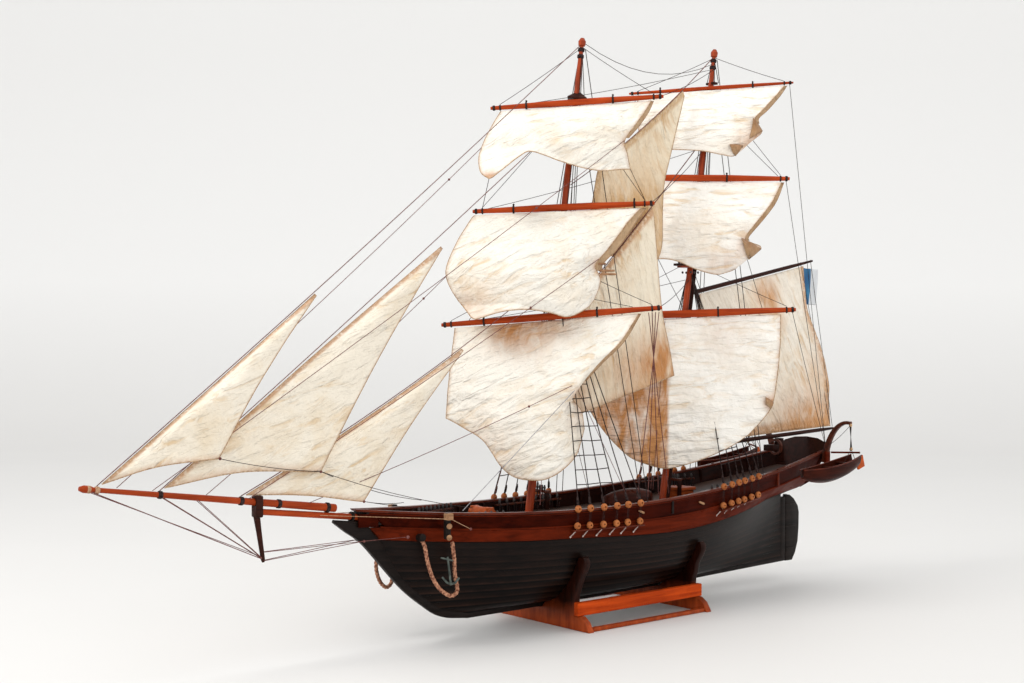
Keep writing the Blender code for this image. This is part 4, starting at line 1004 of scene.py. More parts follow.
def stay_height(name, x):
    """Height of a stay at ship x."""
    (low_x, _), (high_x, _), _ = STAYS[name]
    return stay_point(name, (x - low_x) / (high_x - low_x))[1]


def stay_x(name, z):
    """Ship x of a stay at a height."""
    low, high = 0.0, 1.0
    for _ in range(24):
        middle = (low + high) / 2
        low, high = (middle, high) if stay_point(name, middle)[1] < z else (low, middle)
    return stay_point(name, low)[0]


def ride_over(stay, middle, u, z):
    """How far ahead the cloth must lie to pass over a stay."""
    x = stay_x(stay, z) - MIDDLE_X - middle.x
    ridge = TO_PORT.x * x - TO_PORT.y * middle.y
    ahead = AHEAD.x * x - AHEAD.y * middle.y
    return ahead + 0.0030 - 0.5 * (math.hypot(u - ridge, 0.012) - 0.012)


def crumple(u, v, seed, lean=0.1):
    """Height in metres of the creases and pleats of old linen."""
    along_it = u * math.cos(lean) + v * math.sin(lean)
    across_it = v * math.cos(lean) - u * math.sin(lean)
    pleats = noise.noise(Vector((along_it * 20, across_it * 75, seed)))
    small = noise.noise(Vector((along_it * 60, across_it * 150, seed + 9.1)))
    broad = noise.noise(Vector((u * 17, v * 17, seed + 3.7)))
    return 0.0020 * pleats + 0.0005 * small + 0.0020 * broad


def creases(u, v, corners):
    """Folds fanning out from corners given as (u, v, reach, depth)."""
    total = 0.0
    for cu, cv, reach, depth in corners:
        away = math.hypot(u - cu, v - cv)
        angle = math.atan2(v - cv, u - cu)
        ripple = math.sin(angle * 17 + 3 * noise.noise(Vector((cu * 40, angle * 2, 0.5))))
        total += 0.6 * depth * ripple * clamp(away / 0.030) * math.exp(-away / reach)
    return total


def spots(u, v, marks):
    """How much stain and painted shade the cloth carries, from round (u, v, radius, strength) marks."""
    return clamp(sum(s * math.exp(-((u - cu) ** 2 + (v - cv) ** 2) / (r * r)) for cu, cv, r, s in marks))


def thicken(obj, thickness=CLOTH_THICK):
    """Give a sheet its thickness, half to each side."""
    solid = obj.modifiers.new("thickness", "SOLIDIFY")
    solid.thickness = thickness
    solid.offset = 0.0
    return solid


def woven(flat, spot):
    """Rows of points, stain-and-shade marks and hems of a sail, from what spot says of each place of a flat
    grid.
    """
    across, down = len(flat[0]) - 1, len(flat) - 1
    filled = []
    for j, row in enumerate(flat):
        wide = (row[-1] - row[0]).length
        filled.append([spot(i / across, j / down, u, v, wide) for i, (u, v) in enumerate(row)])
    return [[[values[n] for values in line] for line in filled] for n in range(3)]


def sail_piece(name, grid, front, facing, body="ship"):
    """A sail's cloth with its folds, its front material on the side that faces a direction."""
    rows, stain_and_shade, hem = grid
    bm = skin(rows, marks={"stain_and_shade": stain_and_shade, "hem": hem})
    obj = piece(name + "_cloth", bm, (front, shaded_reverse_linen), body, (name,), 75.0, facing)
    solid = thicken(obj)
    solid.material_offset = 1
    solid.material_offset_rim = 0
    EDGES[name] = rows
    folds = ([leech_fold(name, rows)] if name in FOLDS else []) + corner_flaps(name)


EDGES = {}
# How far down the port leech is turned back, and how wide the turned strip is
FOLDS = {"fore_topsail": (0.74, 0.0100), "fore_topgallant": (0.60, 0.0050), "main_topsail": (0.66, 0.0055),
         "main_topgallant": (0.62, 0.0060), "fore_course": (0.62, 0.0040)}
# The main course carries painted shade, a brown zone, to starboard of this line
PAINTED_SHADE_EDGE = -0.0170
SQUARE_GRID = 89

# Outlines in millimetres beside and below the yard's middle: head ends, starboard leech, foot,
# port leech; then belly, pull at both leeches, the stay that the foot rides over, and stains
SQUARE_SAILS = {
    "fore_course": (
        (-98, 88), ((-102, 60), (-105, 103)),
        ((-96, 107), (-85, 113), (-75, 118), (-65, 125), (-56, 137), (-49, 147), (-40, 156), (-28, 161),
         (-8, 162), (4, 158), (12, 153), (20, 146), (27, 137), (31, 124)),
        ((70, 25), (50, 45), (36, 61), (24, 76), (23, 84), (31, 94), (34, 112)), 24, 8, 10, None,
        ((-20, 12, 24, 0.85), (-48, 14, 20, 0.7), (12, 10, 16, 0.3), (30, 80, 8, 0.9), (30, 100, 14, 0.4),
         (-60, 130, 30, 0.25))),
    "fore_topsail": (
        (-91, 78), ((-95, 12), (-110, 39), (-119, 68), (-108, 93), (-90, 113)),
        ((-85, 115), (-78, 113), (-58, 107), (-33, 105), (-12, 108), (6, 112), (24, 103)),
        ((66, 14), (56, 28), (44, 44), (32, 59), (35, 68), (37, 74), (36, 82), (31, 94)), 34, 10, 12,
        "forestay", ((35, 60, 8, 0.6), (-90, 100, 22, 0.35))),
    "fore_topgallant": (
        (-78, 76), ((-89, 29), (-98, 54), (-94, 76), (-84, 85)),
        ((-80, 83), (-66, 70), (-56, 61), (-46, 55), (-30, 59), (-16, 64), (6, 70), (26, 73), (44, 71)),
        ((70, 10), (60, 25), (49, 42), (52, 55), (55, 70)), 28, 8, 10, "fore_topmast_stay",
        ((-84, 84, 8, 0.9), (52, 44, 7, 0.5))),
    "main_course": (
        (-104, 104), ((-104, 60), (-104, 105)),
        ((-97, 117), (-80, 138), (-60, 156), (-40, 164), (-22, 168), (-4, 165), (15, 159), (34, 151),
         (52, 142)),
        ((103, 30), (100, 61), (94, 97), (82, 116), (68, 131)), 9, 4, 8, None,
        ((92, 96, 8, 0.9), (40, 20, 26, 0.2))),
    "main_topsail": (
        (-88, 88), ((-92, 40), (-86, 92)),
        ((-62, 92), (-41, 91), (-26, 94), (-8, 102), (14, 108), (26, 106), (36, 102), (44, 94)),
        ((78, 26), (68, 40), (56, 55), (47, 68), (54, 73), (65, 78), (56, 86), (47, 91)), 14, 6, 10, None,
        ((55, 78, 16, 0.7), (20, 96, 16, 0.4))),
    "main_topgallant": (
        (-82, 80), ((-84, 30), (-78, 72)),
        ((-60, 70), (-40, 71), (-12, 73), (10, 77), (24, 78)),
        ((72, 8), (63, 18), (54, 28), (46, 37), (50, 46), (54, 52), (42, 62), (35, 66)), 12, 5, 10,
        "main_topmast_stay", ((50, 54, 9, 0.95), (38, 64, 12, 0.6))),
}


def square_flat(yard, head_ends, leech_s, foot, leech_p):
    """A square sail's outline filled with a grid, in millimetres beside and below the yard's middle."""
    left, right = head_ends
    below = 1000 * (yard.radius + 0.0005)
    head = [Vector((u, below - yard.rise * u)) for u in (left, (left + right) / 2, right)]
    starboard = [head[0]] + [Vector(p) for p in leech_s]
    port = [head[-1]] + [Vector(p) for p in leech_p]
    bottom = [starboard[-1]] + [Vector(p) for p in foot] + [port[-1]]
    return patch(head, smooth_path(bottom, 6), smooth_path(starboard, 8), smooth_path(port, 6),
                 SQUARE_GRID, SQUARE_GRID)


def square_sail(name, seed, head_ends, leech_s, foot, leech_p, belly, pull_s, pull_p, stay, marks):
    """One square sail under its yard."""
    yard, middle = YARDS[name], yard_middle(name)
    left, right = head_ends
    on_foremast = yard.mast is fore_at
    rake = FORE_RAKE if on_foremast else MAIN_RAKE
    pinch, clew = leech_p[len(leech_p) // 2], leech_s[-1]
    corners = [(pinch[0] / 1000, pinch[1] / 1000, 0.040, 0.0011),
               (clew[0] / 1000, clew[1] / 1000, 0.035, 0.0009),
               (left / 1000, 0.006, 0.020, 0.0007), (right / 1000, 0.004, 0.025, 0.0008)]

    def spot(s, t, u, v, _):
        w = belly * math.sin(math.pi * s) * (1 - (1 - t) ** 2) * (1 - 0.3 * t)
        w += (pull_s * (1 - s) + pull_p * s) * math.sin(math.pi * 0.85 * t)
        w += rake * AHEAD.x * max(v, 0.0)
        u, v, w = u / 1000, v / 1000, w / 1000
        if stay and t:
            w = max(w, ride_over(stay, middle, u, middle.z - v))
        w += clamp(t * 6) * (crumple(u, v, seed) + creases(u, v, corners))
        stain_and_shade_level = spots(u * 1000, v * 1000, marks)
        # Painted shade: the main course darkens to brown to starboard of the edge line
        if name == "main_course":
            stain_and_shade_level = max(stain_and_shade_level, clamp((PAINTED_SHADE_EDGE - u) / 0.003) * clamp(v * 20 - 0.4))
        hem = 0.6 * clamp(1.0 - min(s, 1 - s, 1 - t) * (right - left) / 4.0)
        return middle + TO_PORT * u + AHEAD * w - Vector((0, 0, v)), stain_and_shade_level, hem

    grid = woven(square_flat(yard, head_ends, leech_s, foot, leech_p), spot)
    sail_piece(name, grid, fore_linen if on_foremast else main_linen, AHEAD)


def square_sails():
    """The six square sails."""
    for number, (name, shape) in enumerate(SQUARE_SAILS.items()):
        square_sail(name, number * 5.0, *shape)


def leech_fold(name, rows):
    """The port leech turned back on itself from the yard to the pinch, showing its reverse."""
    share, width = FOLDS[name]
    last = round(share * (SQUARE_GRID - 1))
    strip = []
    for j in range(0, last + 1, 2):
        t = j / last
        wide = width * (0.25 + 0.75 * math.sin(math.pi * min(1.0, 0.12 + 0.64 * t))) * (1.0 - 0.2 * t ** 6)
        wave = 0.0006 * math.sin(j * 0.9) + 0.0008 * noise.noise(Vector((j * 0.2, width * 900, 2.0)))
        strip.append([rows[j][-1] + TO_PORT * (wide * k / 5) + AHEAD * (wave * k / 5)
                      - AHEAD * (0.0012 * math.sin(math.pi * k / 5) + wide * 0.35 * k / 5) for k in range(6)])
    marks = {"stain_and_shade": [[0.35] * 6 for _ in strip], "hem": [[0.8] + [0.2] * 4 + [0.9] for _ in strip]}
    return folded_piece(name + "_leech_fold", strip, marks)


def folded_piece(name, rows, marks, facing=None):
    """A turned-over strip or corner of a sail, with the cloth's thickness."""
    fold = piece(name, skin(rows, marks=marks), shaded_fold_linen, angle=75.0, facing=facing)
    thicken(fold)
    return fold


# Turned-over corners, as two edges in millimetres beside and below the yard's middle
CORNER_FLAPS = {
    "main_topsail": [(((43, 68), (54, 73), (65, 80)), ((46, 79), (48, 86), (51, 92)))],
    "main_topgallant": [(((44, 36), (50, 43), (55, 51)), ((43, 48), (41, 54), (40, 60))),
                        (((18, 66), (26, 66), (34, 67)), ((21, 74), (23, 77), (25, 79)))],
    "main_course": [(((86, 90), (90, 92), (95, 96)), ((86, 98), (89, 100), (92, 103)))],
}


def over_sail(name, u, v, ahead):
    """A point just ahead of the port half of a square sail's cloth."""
    spot = yard_middle(name) + TO_PORT * u - Vector((0, 0, v))
    near = min((point for row in EDGES[name] for point in row[SQUARE_GRID // 2:]),
               key=lambda point: (point - spot - AHEAD * (point - spot).dot(AHEAD)).length)
    return spot + AHEAD * ((near - spot).dot(AHEAD) + ahead)


def corner_flaps(name):
    """Corners of a sail that curl over and show their reverse, brown with painted shade."""
    flaps = []
    for number, (one, two) in enumerate(CORNER_FLAPS.get(name, ())):
        above, below = (resample([(u / 1000, v / 1000, 0) for u, v in edge], 9) for edge in (one, two))
        rows = []
        for j in range(9):
            spread = [above[i].lerp(below[i], j / 8) for i in range(9)]
            curl = 0.0016 + 0.0030 * math.sin(math.pi * j / 8)
            rows.append([over_sail(name, p.x, p.y, curl) for p in spread])
        worn = [[0.75 - 0.06 * j] * 9 for j in range(9)]
        marks = {"stain_and_shade": worn, "hem": worn}
        flaps.append(folded_piece(name + "_corner_flap_" + str(number), rows, marks, AHEAD))
    return flaps


def luff_on(stay, head_x, tack_x, drop=0.0018):
    """Points under a stay from the head to the tack."""
    return [(x, stay_height(stay, x) - drop) for x in (head_x + (tack_x - head_x) * k / 6 for k in range(7))]


def flat_sail(name, stay, luff, leech, foot, belly, port, front, seed, offset=0.0, marks=(), lean=-0.45):
    """A fore-and-aft sail between its luff and leech, blown to port at its leech."""
    flat = patch([luff[0], leech[0]], foot, smooth_path(luff, 6), smooth_path(leech, 6), 57, 101)
    clew, tack, head = flat[-1][-1], flat[-1][0], flat[0][0]
    corners = [(*clew, 0.060, 0.0013), (*tack, 0.045, 0.0009), (*head, 0.050, 0.0007)]

    def spot(s, t, x, z, wide):
        y = offset + port * s * t ** 0.5 + belly * math.sin(math.pi * s) * math.sin(math.pi * t)
        y += clamp(s * 4) * clamp(t * 5) * (crumple(x * 0.8, z * 0.8, seed, lean) + creases(x, z, corners))
        hem = max(clamp(2.2 - s * wide / 0.0045), 0.7 * clamp(1.0 - (1 - s) * wide / 0.0020),
                  0.7 * clamp(1.0 - (1 - t) * 26))
        return at(x + BLOWN_FORWARD * y, y, z), spots(x * 1000, z * 1000, marks), hem

    sail_piece(name, woven(flat, spot), front, Vector((0, 1, 0)))


def headsails():
    """The three jibs."""
    outer = [(0.5530, 0.3735), (0.6250, 0.3215), (0.6955, 0.2700), (0.7700, 0.2135), (0.8380, 0.1625)]
    for name, stay, luff, clew, foot, port, seed in (
            ("flying_jib", "fore_topgallant_stay", luff_on("fore_topgallant_stay", 0.6937, 0.8925, 0.0022),
             (0.7845, 0.1853), (0.842, 0.181), 0.014, 1.3),
            ("outer_jib", "fore_topmast_stay", outer, (0.6845, 0.1685), (0.765, 0.172), 0.013, 4.1),
            ("fore_staysail", "forestay", luff_on("forestay", 0.5270, 0.7620), (0.6391, 0.1385),
             (0.705, 0.148), 0.010, 7.7)):
        near_head = (luff[0][0] - 0.0015, luff[0][1] - 0.0015)
        middle = ((near_head[0] + clew[0]) / 2 + 0.004, (near_head[1] + clew[1]) / 2)
        flat_sail(name, stay, luff, [near_head, middle, clew], smooth_path([luff[-1], foot, clew], 8), 0.006,
                  port, jib_linen, seed)


def mid_staysails():
    """The two tan staysails between the masts."""
    luff = luff_on("main_topgallant_stay", 0.2174, 0.3439, 0.0010)
    # Its marks darken the lower part to brown: stain together with painted shade
    flat_sail("upper_staysail", "main_topgallant_stay", luff + [(0.3551, 0.4259), (0.3660, 0.3800)],
              [(0.2150, 0.5560), (0.2345, 0.4939), (0.2469, 0.4492), (0.2490, 0.3900), (0.2588, 0.3680)],
              [(0.3660, 0.3800), (0.3120, 0.3720), (0.2588, 0.3680)], -0.004, -0.003, upper_linen, 11.0,
              offset=-0.0014, marks=((302, 392, 54, 1.8), (262, 440, 26, 0.4)), lean=1.1)
    luff = luff_on("main_topmast_stay", 0.2655, 0.3960, 0.0022)
    flat_sail("lower_staysail", "main_topmast_stay", luff + [(0.4120, 0.2400), (0.4180, 0.1980)],
              [(0.2635, 0.4220), (0.2572, 0.3615), (0.2505, 0.3127), (0.2392, 0.2746), (0.2326, 0.2471)],
              [(0.4180, 0.1980), (0.3550, 0.2133), (0.2326, 0.2471)], 0.004, 0.014, sand_linen, 14.0,
              offset=0.0008, marks=((250, 262, 30, 1.2), (300, 250, 34, 0.6), (380, 235, 24, 0.7)), lean=1.35)


SPANKER_STAINS = ((10, 178, 44, 1.0), (75, 338, 20, 1.0), (60, 310, 16, 0.7), (130, 180, 50, 0.5),
                  (-20, 250, 26, 0.3), (-30, 190, 24, 0.9))


def spanker():
    """The spanker between gaff and boom."""
    head = [(x, gaff_at(x).z - 0.0034) for x in (0.1880, 0.1270, 0.0660, 0.0049)]
    clew = (-0.0496, boom_at(-0.0496).z + 0.0036)
    tack = (0.2130, boom_at(0.2130).z + 0.0040)
    leech = [head[-1], (-0.0040, 0.3222), (-0.0310, 0.2739), (-0.0440, 0.2371), clew]
    luff = [head[0], (0.1955, 0.2900), (0.2060, 0.2250), tack]
    foot = [tack, (0.08, boom_at(0.08).z + 0.0042), clew]
    flat = patch(head, smooth_path(foot, 8), smooth_path(luff, 8), smooth_path(leech, 8), 73, 65)
    corners = [(*clew, 0.060, 0.0012), (0.0049, 0.375, 0.060, 0.0010), (0.2130, 0.17, 0.050, 0.0008)]

    def spot(s, t, x, z, _):
        y = 0.006 * math.sin(math.pi * s) * math.sin(math.pi * t)
        free = clamp(t * 8) * clamp((1 - t) * 12) * clamp(s * 8)
        y += free * (crumple(x, z, 21.0, 0.9) + creases(x, z, corners))
        hem = max(clamp(1.6 - (1 - s) * 34), clamp(2.2 - (1 - t) * 30), 0.6 * clamp(1 - s * 40))
        return at(x, y, z), spots(x * 1000, z * 1000, SPANKER_STAINS), hem

    sail_piece("spanker_sail", woven(flat, spot), spanker_linen, Vector((0, 1, 0)),
               "spanker")


def flag():
    """The small flag at the gaff's peak."""
    rows = []
    for j in range(25):
        rows.append([at(0.0066 - 0.0312 * i / 24 + 0.003 * (j / 24) * (i / 24),
                        -0.0016 + 0.0013 * math.sin(i * 0.55 + j * 0.12),
                        0.3727 - 0.0435 * j / 24 - 0.0010 * (i / 24)) for i in range(25)])
    cloth = piece("flag_cloth", skin(rows), flag_blue_white, "spanker", ("flag",), 75.0)
    thicken(cloth, 0.0004)


def topsail_toggles():
    """Wooden bars that hold the fore topsail's gathered leech."""
    bars = bmesh.new()
    pinch = leech_point("fore_topsail", True, 0.72)
    for drop, out, long in ((0.0010, 0.0110, 0.0160), (0.0045, 0.0120, 0.0170), (-0.0060, 0.0060, 0.0080)):
        centre = pinch + TO_PORT * out - Vector((0, 0, drop))
        join(bars, turned(centre - TO_PORT * long / 2, centre + TO_PORT * long / 2,
                          ((0, 0.0006), (0.1, 0.0011), (0.9, 0.0011), (1, 0.0006)), 8))
    piece("topsail_toggles", bars, bead_dull)


def bolt_ropes():
    """Cords sewn along the sails' edges."""
    ship, spank = [], []
    for name, rows in EDGES.items():
        lines = [[row[end] for row in rows[::2]] for end in (0, -1)] + [rows[-1][::2]]
        (spank if name == "spanker_sail" else ship).extend(lines)
    cordage("bolt_ropes", ship, 0.00050, hem_twine)
    cordage("spanker_bolt_ropes", spank, 0.00050, hem_twine, "spanker")


# Standing rigging


FORE_CHAINS = (0.434, 0.419, 0.402, 0.385, 0.370, 0.353)
MAIN_CHAINS = (0.220, 0.205, 0.192, 0.181, 0.167, 0.154)
BEAD_RADIUS = 0.0037
RATLINE_STEPS = 15
RATLINE_SHROUDS = 4


def shroud_ends(mast, x, side, top_z):
    """Lower bead, upper bead and masthead of one shroud."""
    y = half_breadth(x, bulwark_foot(x)) + 0.0050
    lower = at(x, side * y, bulwark_foot(x) + 0.0012)
    upper = at(x - 0.0015, side * (y - 0.0005), rail_height(x) + 0.0010)
    return lower, upper, mast(top_z, 0.0, side * 0.0030)


def channel(chains, side):
    """The narrow shelf behind one gang of lower beads."""
    y = half_breadth(chains[2], bulwark_foot(chains[2])) + 0.0036
    front, back = chains[0] + 0.006, chains[-1] - 0.006
    middle = at((front + back) / 2, side * y, bulwark_foot((front + back) / 2) - 0.0030)
    fall = math.atan2(bulwark_foot(front) - bulwark_foot(back), front - back)
    turn = math.atan2(side * (half_breadth(front, 0.11) - half_breadth(back, 0.11)), front - back)
    return block(middle, (front - back, 0.0056, 0.0014), (0.0, -fall, turn))


def standing_rigging():
    """Beads, lanyards, shrouds, ratlines and chainplates on both sides."""
    beads, straps, shelves, wraps = (bmesh.new() for _ in range(4))
    lanyards, shrouds, ratlines = [], [], []
    for mast, chains, top_z in ((fore_at, FORE_CHAINS, 0.352), (main_at, MAIN_CHAINS, 0.359)):
        for side in (1, -1):
            ends = [shroud_ends(mast, x, side, top_z) for x in chains]
            for x, (lower, upper, top) in zip(chains, ends):
                out = Vector((0.15, side, 0.10))
                join(beads, *(ball(place, BEAD_RADIUS, out, 0.0009) for place in (lower, upper)))
                for shift in (-0.0010, 0.0010):
                    lanyards.append([lower + Vector((shift, 0, 0.0030)),
                                     upper + Vector((shift * 0.8, 0, -0.0030))])
                shrouds.append([upper + Vector((0, 0, 0.0032)), top])
                up = (top - upper).normalized()
                join(wraps, turned(upper + up * 0.0034, upper + up * 0.0125,
                                   ((0, 0.0007), (0.2, 0.0014), (0.75, 0.0012), (1, 0.0006)), 7))
                foot = bulwark_foot(x)
                nail = at(x + 0.006, side * (half_breadth(x, foot - 0.009) + 0.0016), foot - 0.0095)
                join(straps, ball(nail, 0.0011),
                     turned(nail, lower + Vector((0, 0, -0.003)), ((0, 0.0005), (1, 0.0005)), 6))
            join(shelves, channel(chains, side))
            for k in range(1, RATLINE_STEPS):
                share = 0.04 + 0.90 * k / RATLINE_STEPS
                ratlines.append([upper.lerp(top, share) + Vector((0, 0, random.uniform(-0.0006, 0.0006)))
                                 for _, upper, top in ends[:RATLINE_SHROUDS]])
    piece("deadeye_beads", beads, bead_wood)
    piece("chain_nails", straps, nail_metal)
    piece("shroud_wraps", wraps, dark_twine)
    piece("channels", shelves, rail_wood)
    cordage("lanyards", lanyards, 0.00024, dark_twine)
    cordage("shrouds", shrouds, 0.00055, dark_twine)
    cordage("ratlines", ratlines, 0.00052, dark_twine)


def topmast_shrouds():
    """Topmast and topgallant shrouds and backstays."""
    lines = []
    for mast, top_z, trees_z, truck_z in ((fore_at, 0.3615, 0.5350, 0.586),
                                          (main_at, 0.3690, 0.5745, 0.601)):
        for side in (1, -1):
            for k in range(3):
                lines.append([mast(top_z, -0.008 + 0.007 * k, side * 0.0115),
                              mast(trees_z - 0.004, 0.001, side * 0.0022)])
            for k in range(2):
                lines.append([mast(trees_z, -0.004 + 0.007 * k, side * 0.0056),
                              mast(truck_z, 0.003, side * 0.0014)])
    for side in (1, -1):
        for x, mast, z in ((0.345, fore_at, 0.530), (0.336, fore_at, 0.586), (0.146, main_at, 0.570),
                           (0.138, main_at, 0.601)):
            rail = at(x, side * (half_breadth(x, 0.12) - 0.001), rail_height(x))
            lines.append([rail, mast(z, -0.001, side * 0.002)])
    cordage("topmast_shrouds", lines, TWINE, dark_twine)


def stays():
    """The stays that carry the sails, doubled as on the model."""
    lines = []
    for name in STAYS:
        path = [stay_point(name, k / 12) for k in range(13)]
        for side in (-0.0006, 0.0006):
            lines.append([at(x, side, z + side * 0.5) for x, z in path])
    cordage("stays", lines, 0.00040, red_twine, nodes=tuple(STAYS))


# Running rigging


def leech_point(name, port, share):
    """A point on a square sail's port or starboard leech."""
    rows = EDGES[name]
    row = rows[round(share * (len(rows) - 1))]
    return row[-1 if port else 0]


def masthead_lines():
    """Lifts, sheets and braces of the yards, and the line between the mastheads."""
    lines = []
    for name, z in (("fore_course", 0.366), ("fore_topsail", 0.531), ("fore_topgallant", 0.587),
                    ("main_course", 0.372), ("main_topsail", 0.570), ("main_topgallant", 0.603)):
        yard = YARDS[name]
        for u, side in yard_arms(name, 0.010):
            lines.append(sag(yard_at(name, u, yard.radius), yard.mast(z, 0.002, side * 0.002), 0.001))
    for name, under, share, reach in (("fore_topgallant", "fore_topsail", 1.0, 0.082),
                                      ("fore_topsail", "fore_course", 1.0, 0.082),
                                      ("main_topgallant", "main_topsail", 0.98, 0.084),
                                      ("main_topsail", "main_course", 0.98, 0.084)):
        for port, u in ((False, -0.084), (True, reach)):
            lines.append(sag(leech_point(name, port, share), yard_at(under, u, 0.003)))
    for name in ("main_course", "main_topsail", "main_topgallant"):
        (starboard, _), (port, _) = yard_arms(name, 0.004)
        lines.append(sag(yard_at(name, port, 0.0, -0.002), at(0.004, 0.034, 0.160), 0.002))
        lines.append(sag(yard_at(name, starboard, 0.0, -0.002), at(0.040, -0.040, 0.152), 0.002))
    for name, z in (("fore_course", 0.352), ("fore_topsail", 0.500), ("fore_topgallant", 0.590)):
        for u, side in yard_arms(name, 0.004):
            lines.append(sag(yard_at(name, u), main_at(z, 0.003, side * 0.003), 0.003))
    lines.append(sag(fore_at(0.592, -0.002), main_at(0.596, 0.004), 0.020))
    return lines


def jib_sheets():
    """Sheets from the jibs' clews to the rails, on both sides."""
    lines = []
    staysail, outer = at(0.6461, 0.0100, 0.1385), at(0.6945, 0.0130, 0.1685)
    flying = at(0.7955, 0.0140, 0.1853)
    for side in (1, -1):
        lines.append(sag(staysail, at(0.5700, side * 0.0350, 0.1280), 0.0015))
        lines.append(sag(outer, at(0.5450, side * 0.0400, 0.1280), 0.004))
        lines.append(sag(flying, outer, 0.002))
    return lines


KNOT_RADIUS = 0.0013


def bowlines(knots):
    """Red lines from the fore sails' leeches to the jib boom, each with a knot."""
    lines = []
    for name, port, share, x, y, drop, knot in (("fore_topsail", False, 0.58, 0.800, 0.0, 0.004, 1),
                                                ("fore_topgallant", False, 0.50, 0.880, 0.0, 0.004, 1),
                                                ("fore_course", True, 0.60, 0.700, 0.002, 0.003, 2),
                                                ("fore_topsail", True, 0.60, 0.760, 0.002, 0.003, 2),
                                                ("fore_topgallant", True, 0.62, 0.850, 0.002, 0.003, 2)):
        line = sag(leech_point(name, port, share), jib_at(x, 0.003, y), drop)
        join(knots, ball(line[knot], KNOT_RADIUS))
        lines.append(line)
    return lines


def boom_guys():
    """Guys from the jib boom over the dolphin striker to the bow."""
    lines = []
    for x in (0.9040, 0.8423, 0.8100):
        for side in (1, -1):
            lines.append([jib_at(x, -0.001, side * 0.002), at(0.7450, side * 0.001, 0.0945)])
    lines.append([jib_at(0.9040, -0.002), at(0.7455, 0.0, 0.0965)])
    for side in (1, -1):
        eye = at(0.6440, side * 0.0060, 0.1020)
        for z in (0.0935, 0.1010):
            lines.append([at(0.7452, side * 0.0012, z), eye])
        lines.append([eye, at(0.6080, side * 0.0230, 0.1045)])
    return lines


def running_rigging():
    """Lifts, braces, sheets, bowlines, halyards and the guys of the jib boom."""
    knots = bmesh.new()
    dark = masthead_lines() + jib_sheets()
    red = bowlines(knots) + boom_guys()
    tan = []
    for side in (1, -1):
        tan.append([sprit_at(0.6900, 0.0, side * 0.0040), at(0.5790, side * 0.0445, 0.1208)])
        tan.append([at(0.5740, side * 0.0460, 0.1200), at(0.5540, side * 0.0480, 0.1100)])
    for k in range(3):
        red.append([main_at(0.3060, 0.0300, -0.010 + 0.005 * k),
                    at(0.2560 + 0.006 * k, -0.012 + 0.009 * k, 0.1240)])
    falls = [[yard_at("fore_course", 0.1085 - 0.0035 * k, -0.004),
              at(0.335 - 0.020 * k, 0.048 - 0.004 * k, 0.1230)] for k in range(4)]
    cordage("yardarm_falls", falls, 0.00045, red_twine)
    for top, low_x, low_y in ((0.352, 0.452, 0.030), (0.352, 0.462, -0.030), (0.300, 0.340, 0.040),
                              (0.300, 0.330, -0.030)):
        red.append([fore_at(top, 0.004), at(low_x, low_y, 0.1230)])
    for side in (1, -1):
        join(knots, ball(at(0.6080, side * 0.0240, 0.1045), 0.0017),
             ball(at(0.6440, side * 0.0062, 0.1020), KNOT_RADIUS),
             ball(at(0.5540, side * 0.0485, 0.1100), 0.0014))
    join(knots, ball(at(0.6470, 0.0102, 0.1385), KNOT_RADIUS), ball(at(0.6950, 0.0132, 0.1685), KNOT_RADIUS),
         ball(at(0.7950, 0.0142, 0.1853), 0.0014))
    piece("line_knots", knots, red_twine)
    cordage("running_lines_dark", dark, THREAD, dark_twine)
    cordage("running_lines_red", red, THREAD, red_twine)
    cordage("running_lines_grey", [[leech_point("fore_course", True, 0.62), at(0.560, 0.044, 0.1270)]],
            THREAD, grey_twine)
    cordage("running_lines_tan", tan, THREAD, tan_twine)
    cordage("spanker_lines", [[gaff_at(0.010, 0.002), boom_at(-0.050, 0.003)],
                              [gaff_at(-0.009, 0.002), at(-0.0520, 0.0015, 0.1800)]],
            THREAD, dark_twine, "spanker")


# Boats, davits, fittings and ground tackle


BOAT_STEPS = 28
BOAT_KEEL = 6


def boat_ring(share, side, half, drop):
    """A half-open section of a quarter boat; share runs from its bow to its stern."""
    x = 0.1030 - 0.1000 * share
    shape = math.sin(math.pi * (0.04 + 0.80 * share)) ** 0.7
    top = 0.1378 + 0.0122 * share + 0.0030 * (2 * share - 1) ** 2
    return [at(x, side * (0.0770 + half * shape * math.cos(math.pi * j / 12)),
               top - drop * (0.35 + 0.65 * shape) * math.sin(math.pi * j / 12) ** 0.75) for j in range(13)]


def quarter_boat(word, side):
    """An open boat with its well, gunwales and thwarts."""
    name = "quarter_boat_" + word
    shares = [k / BOAT_STEPS for k in range(BOAT_STEPS + 1)]
    outer = [boat_ring(share, side, 0.0118, 0.0185) for share in shares]
    inner = [boat_ring(clamp(share, 0.035, 0.965), side, 0.0104, 0.0158) for share in shares]
    boat = skin([out + well[::-1] for out, well in zip(outer, inner)], wrap=True)
    for share in (0.26, 0.52, 0.76):
        ring = boat_ring(share, side, 0.0106, 0.0150)
        middle = (ring[0] + ring[-1]) / 2 - Vector((0, 0, 0.0028))
        join(boat, block(middle, (0.0056, (ring[0] - ring[-1]).length, 0.0012)))
    piece(name + "_planking", boat, boat_wood, nodes=(name,), angle=30.0)
    lines = [[ring[n] for ring in outer] for n in (0, -1, BOAT_KEEL)]
    cordage(name + "_edges", lines, 0.0008, rail_wood)


DAVIT_X = 0.0109
DAVIT_CURVE = ((0.0385, 0.1420), (0.0395, 0.1520), (0.0430, 0.1640), (0.0490, 0.1760), (0.0570, 0.1850),
               (0.0660, 0.1897), (0.0750, 0.1900))


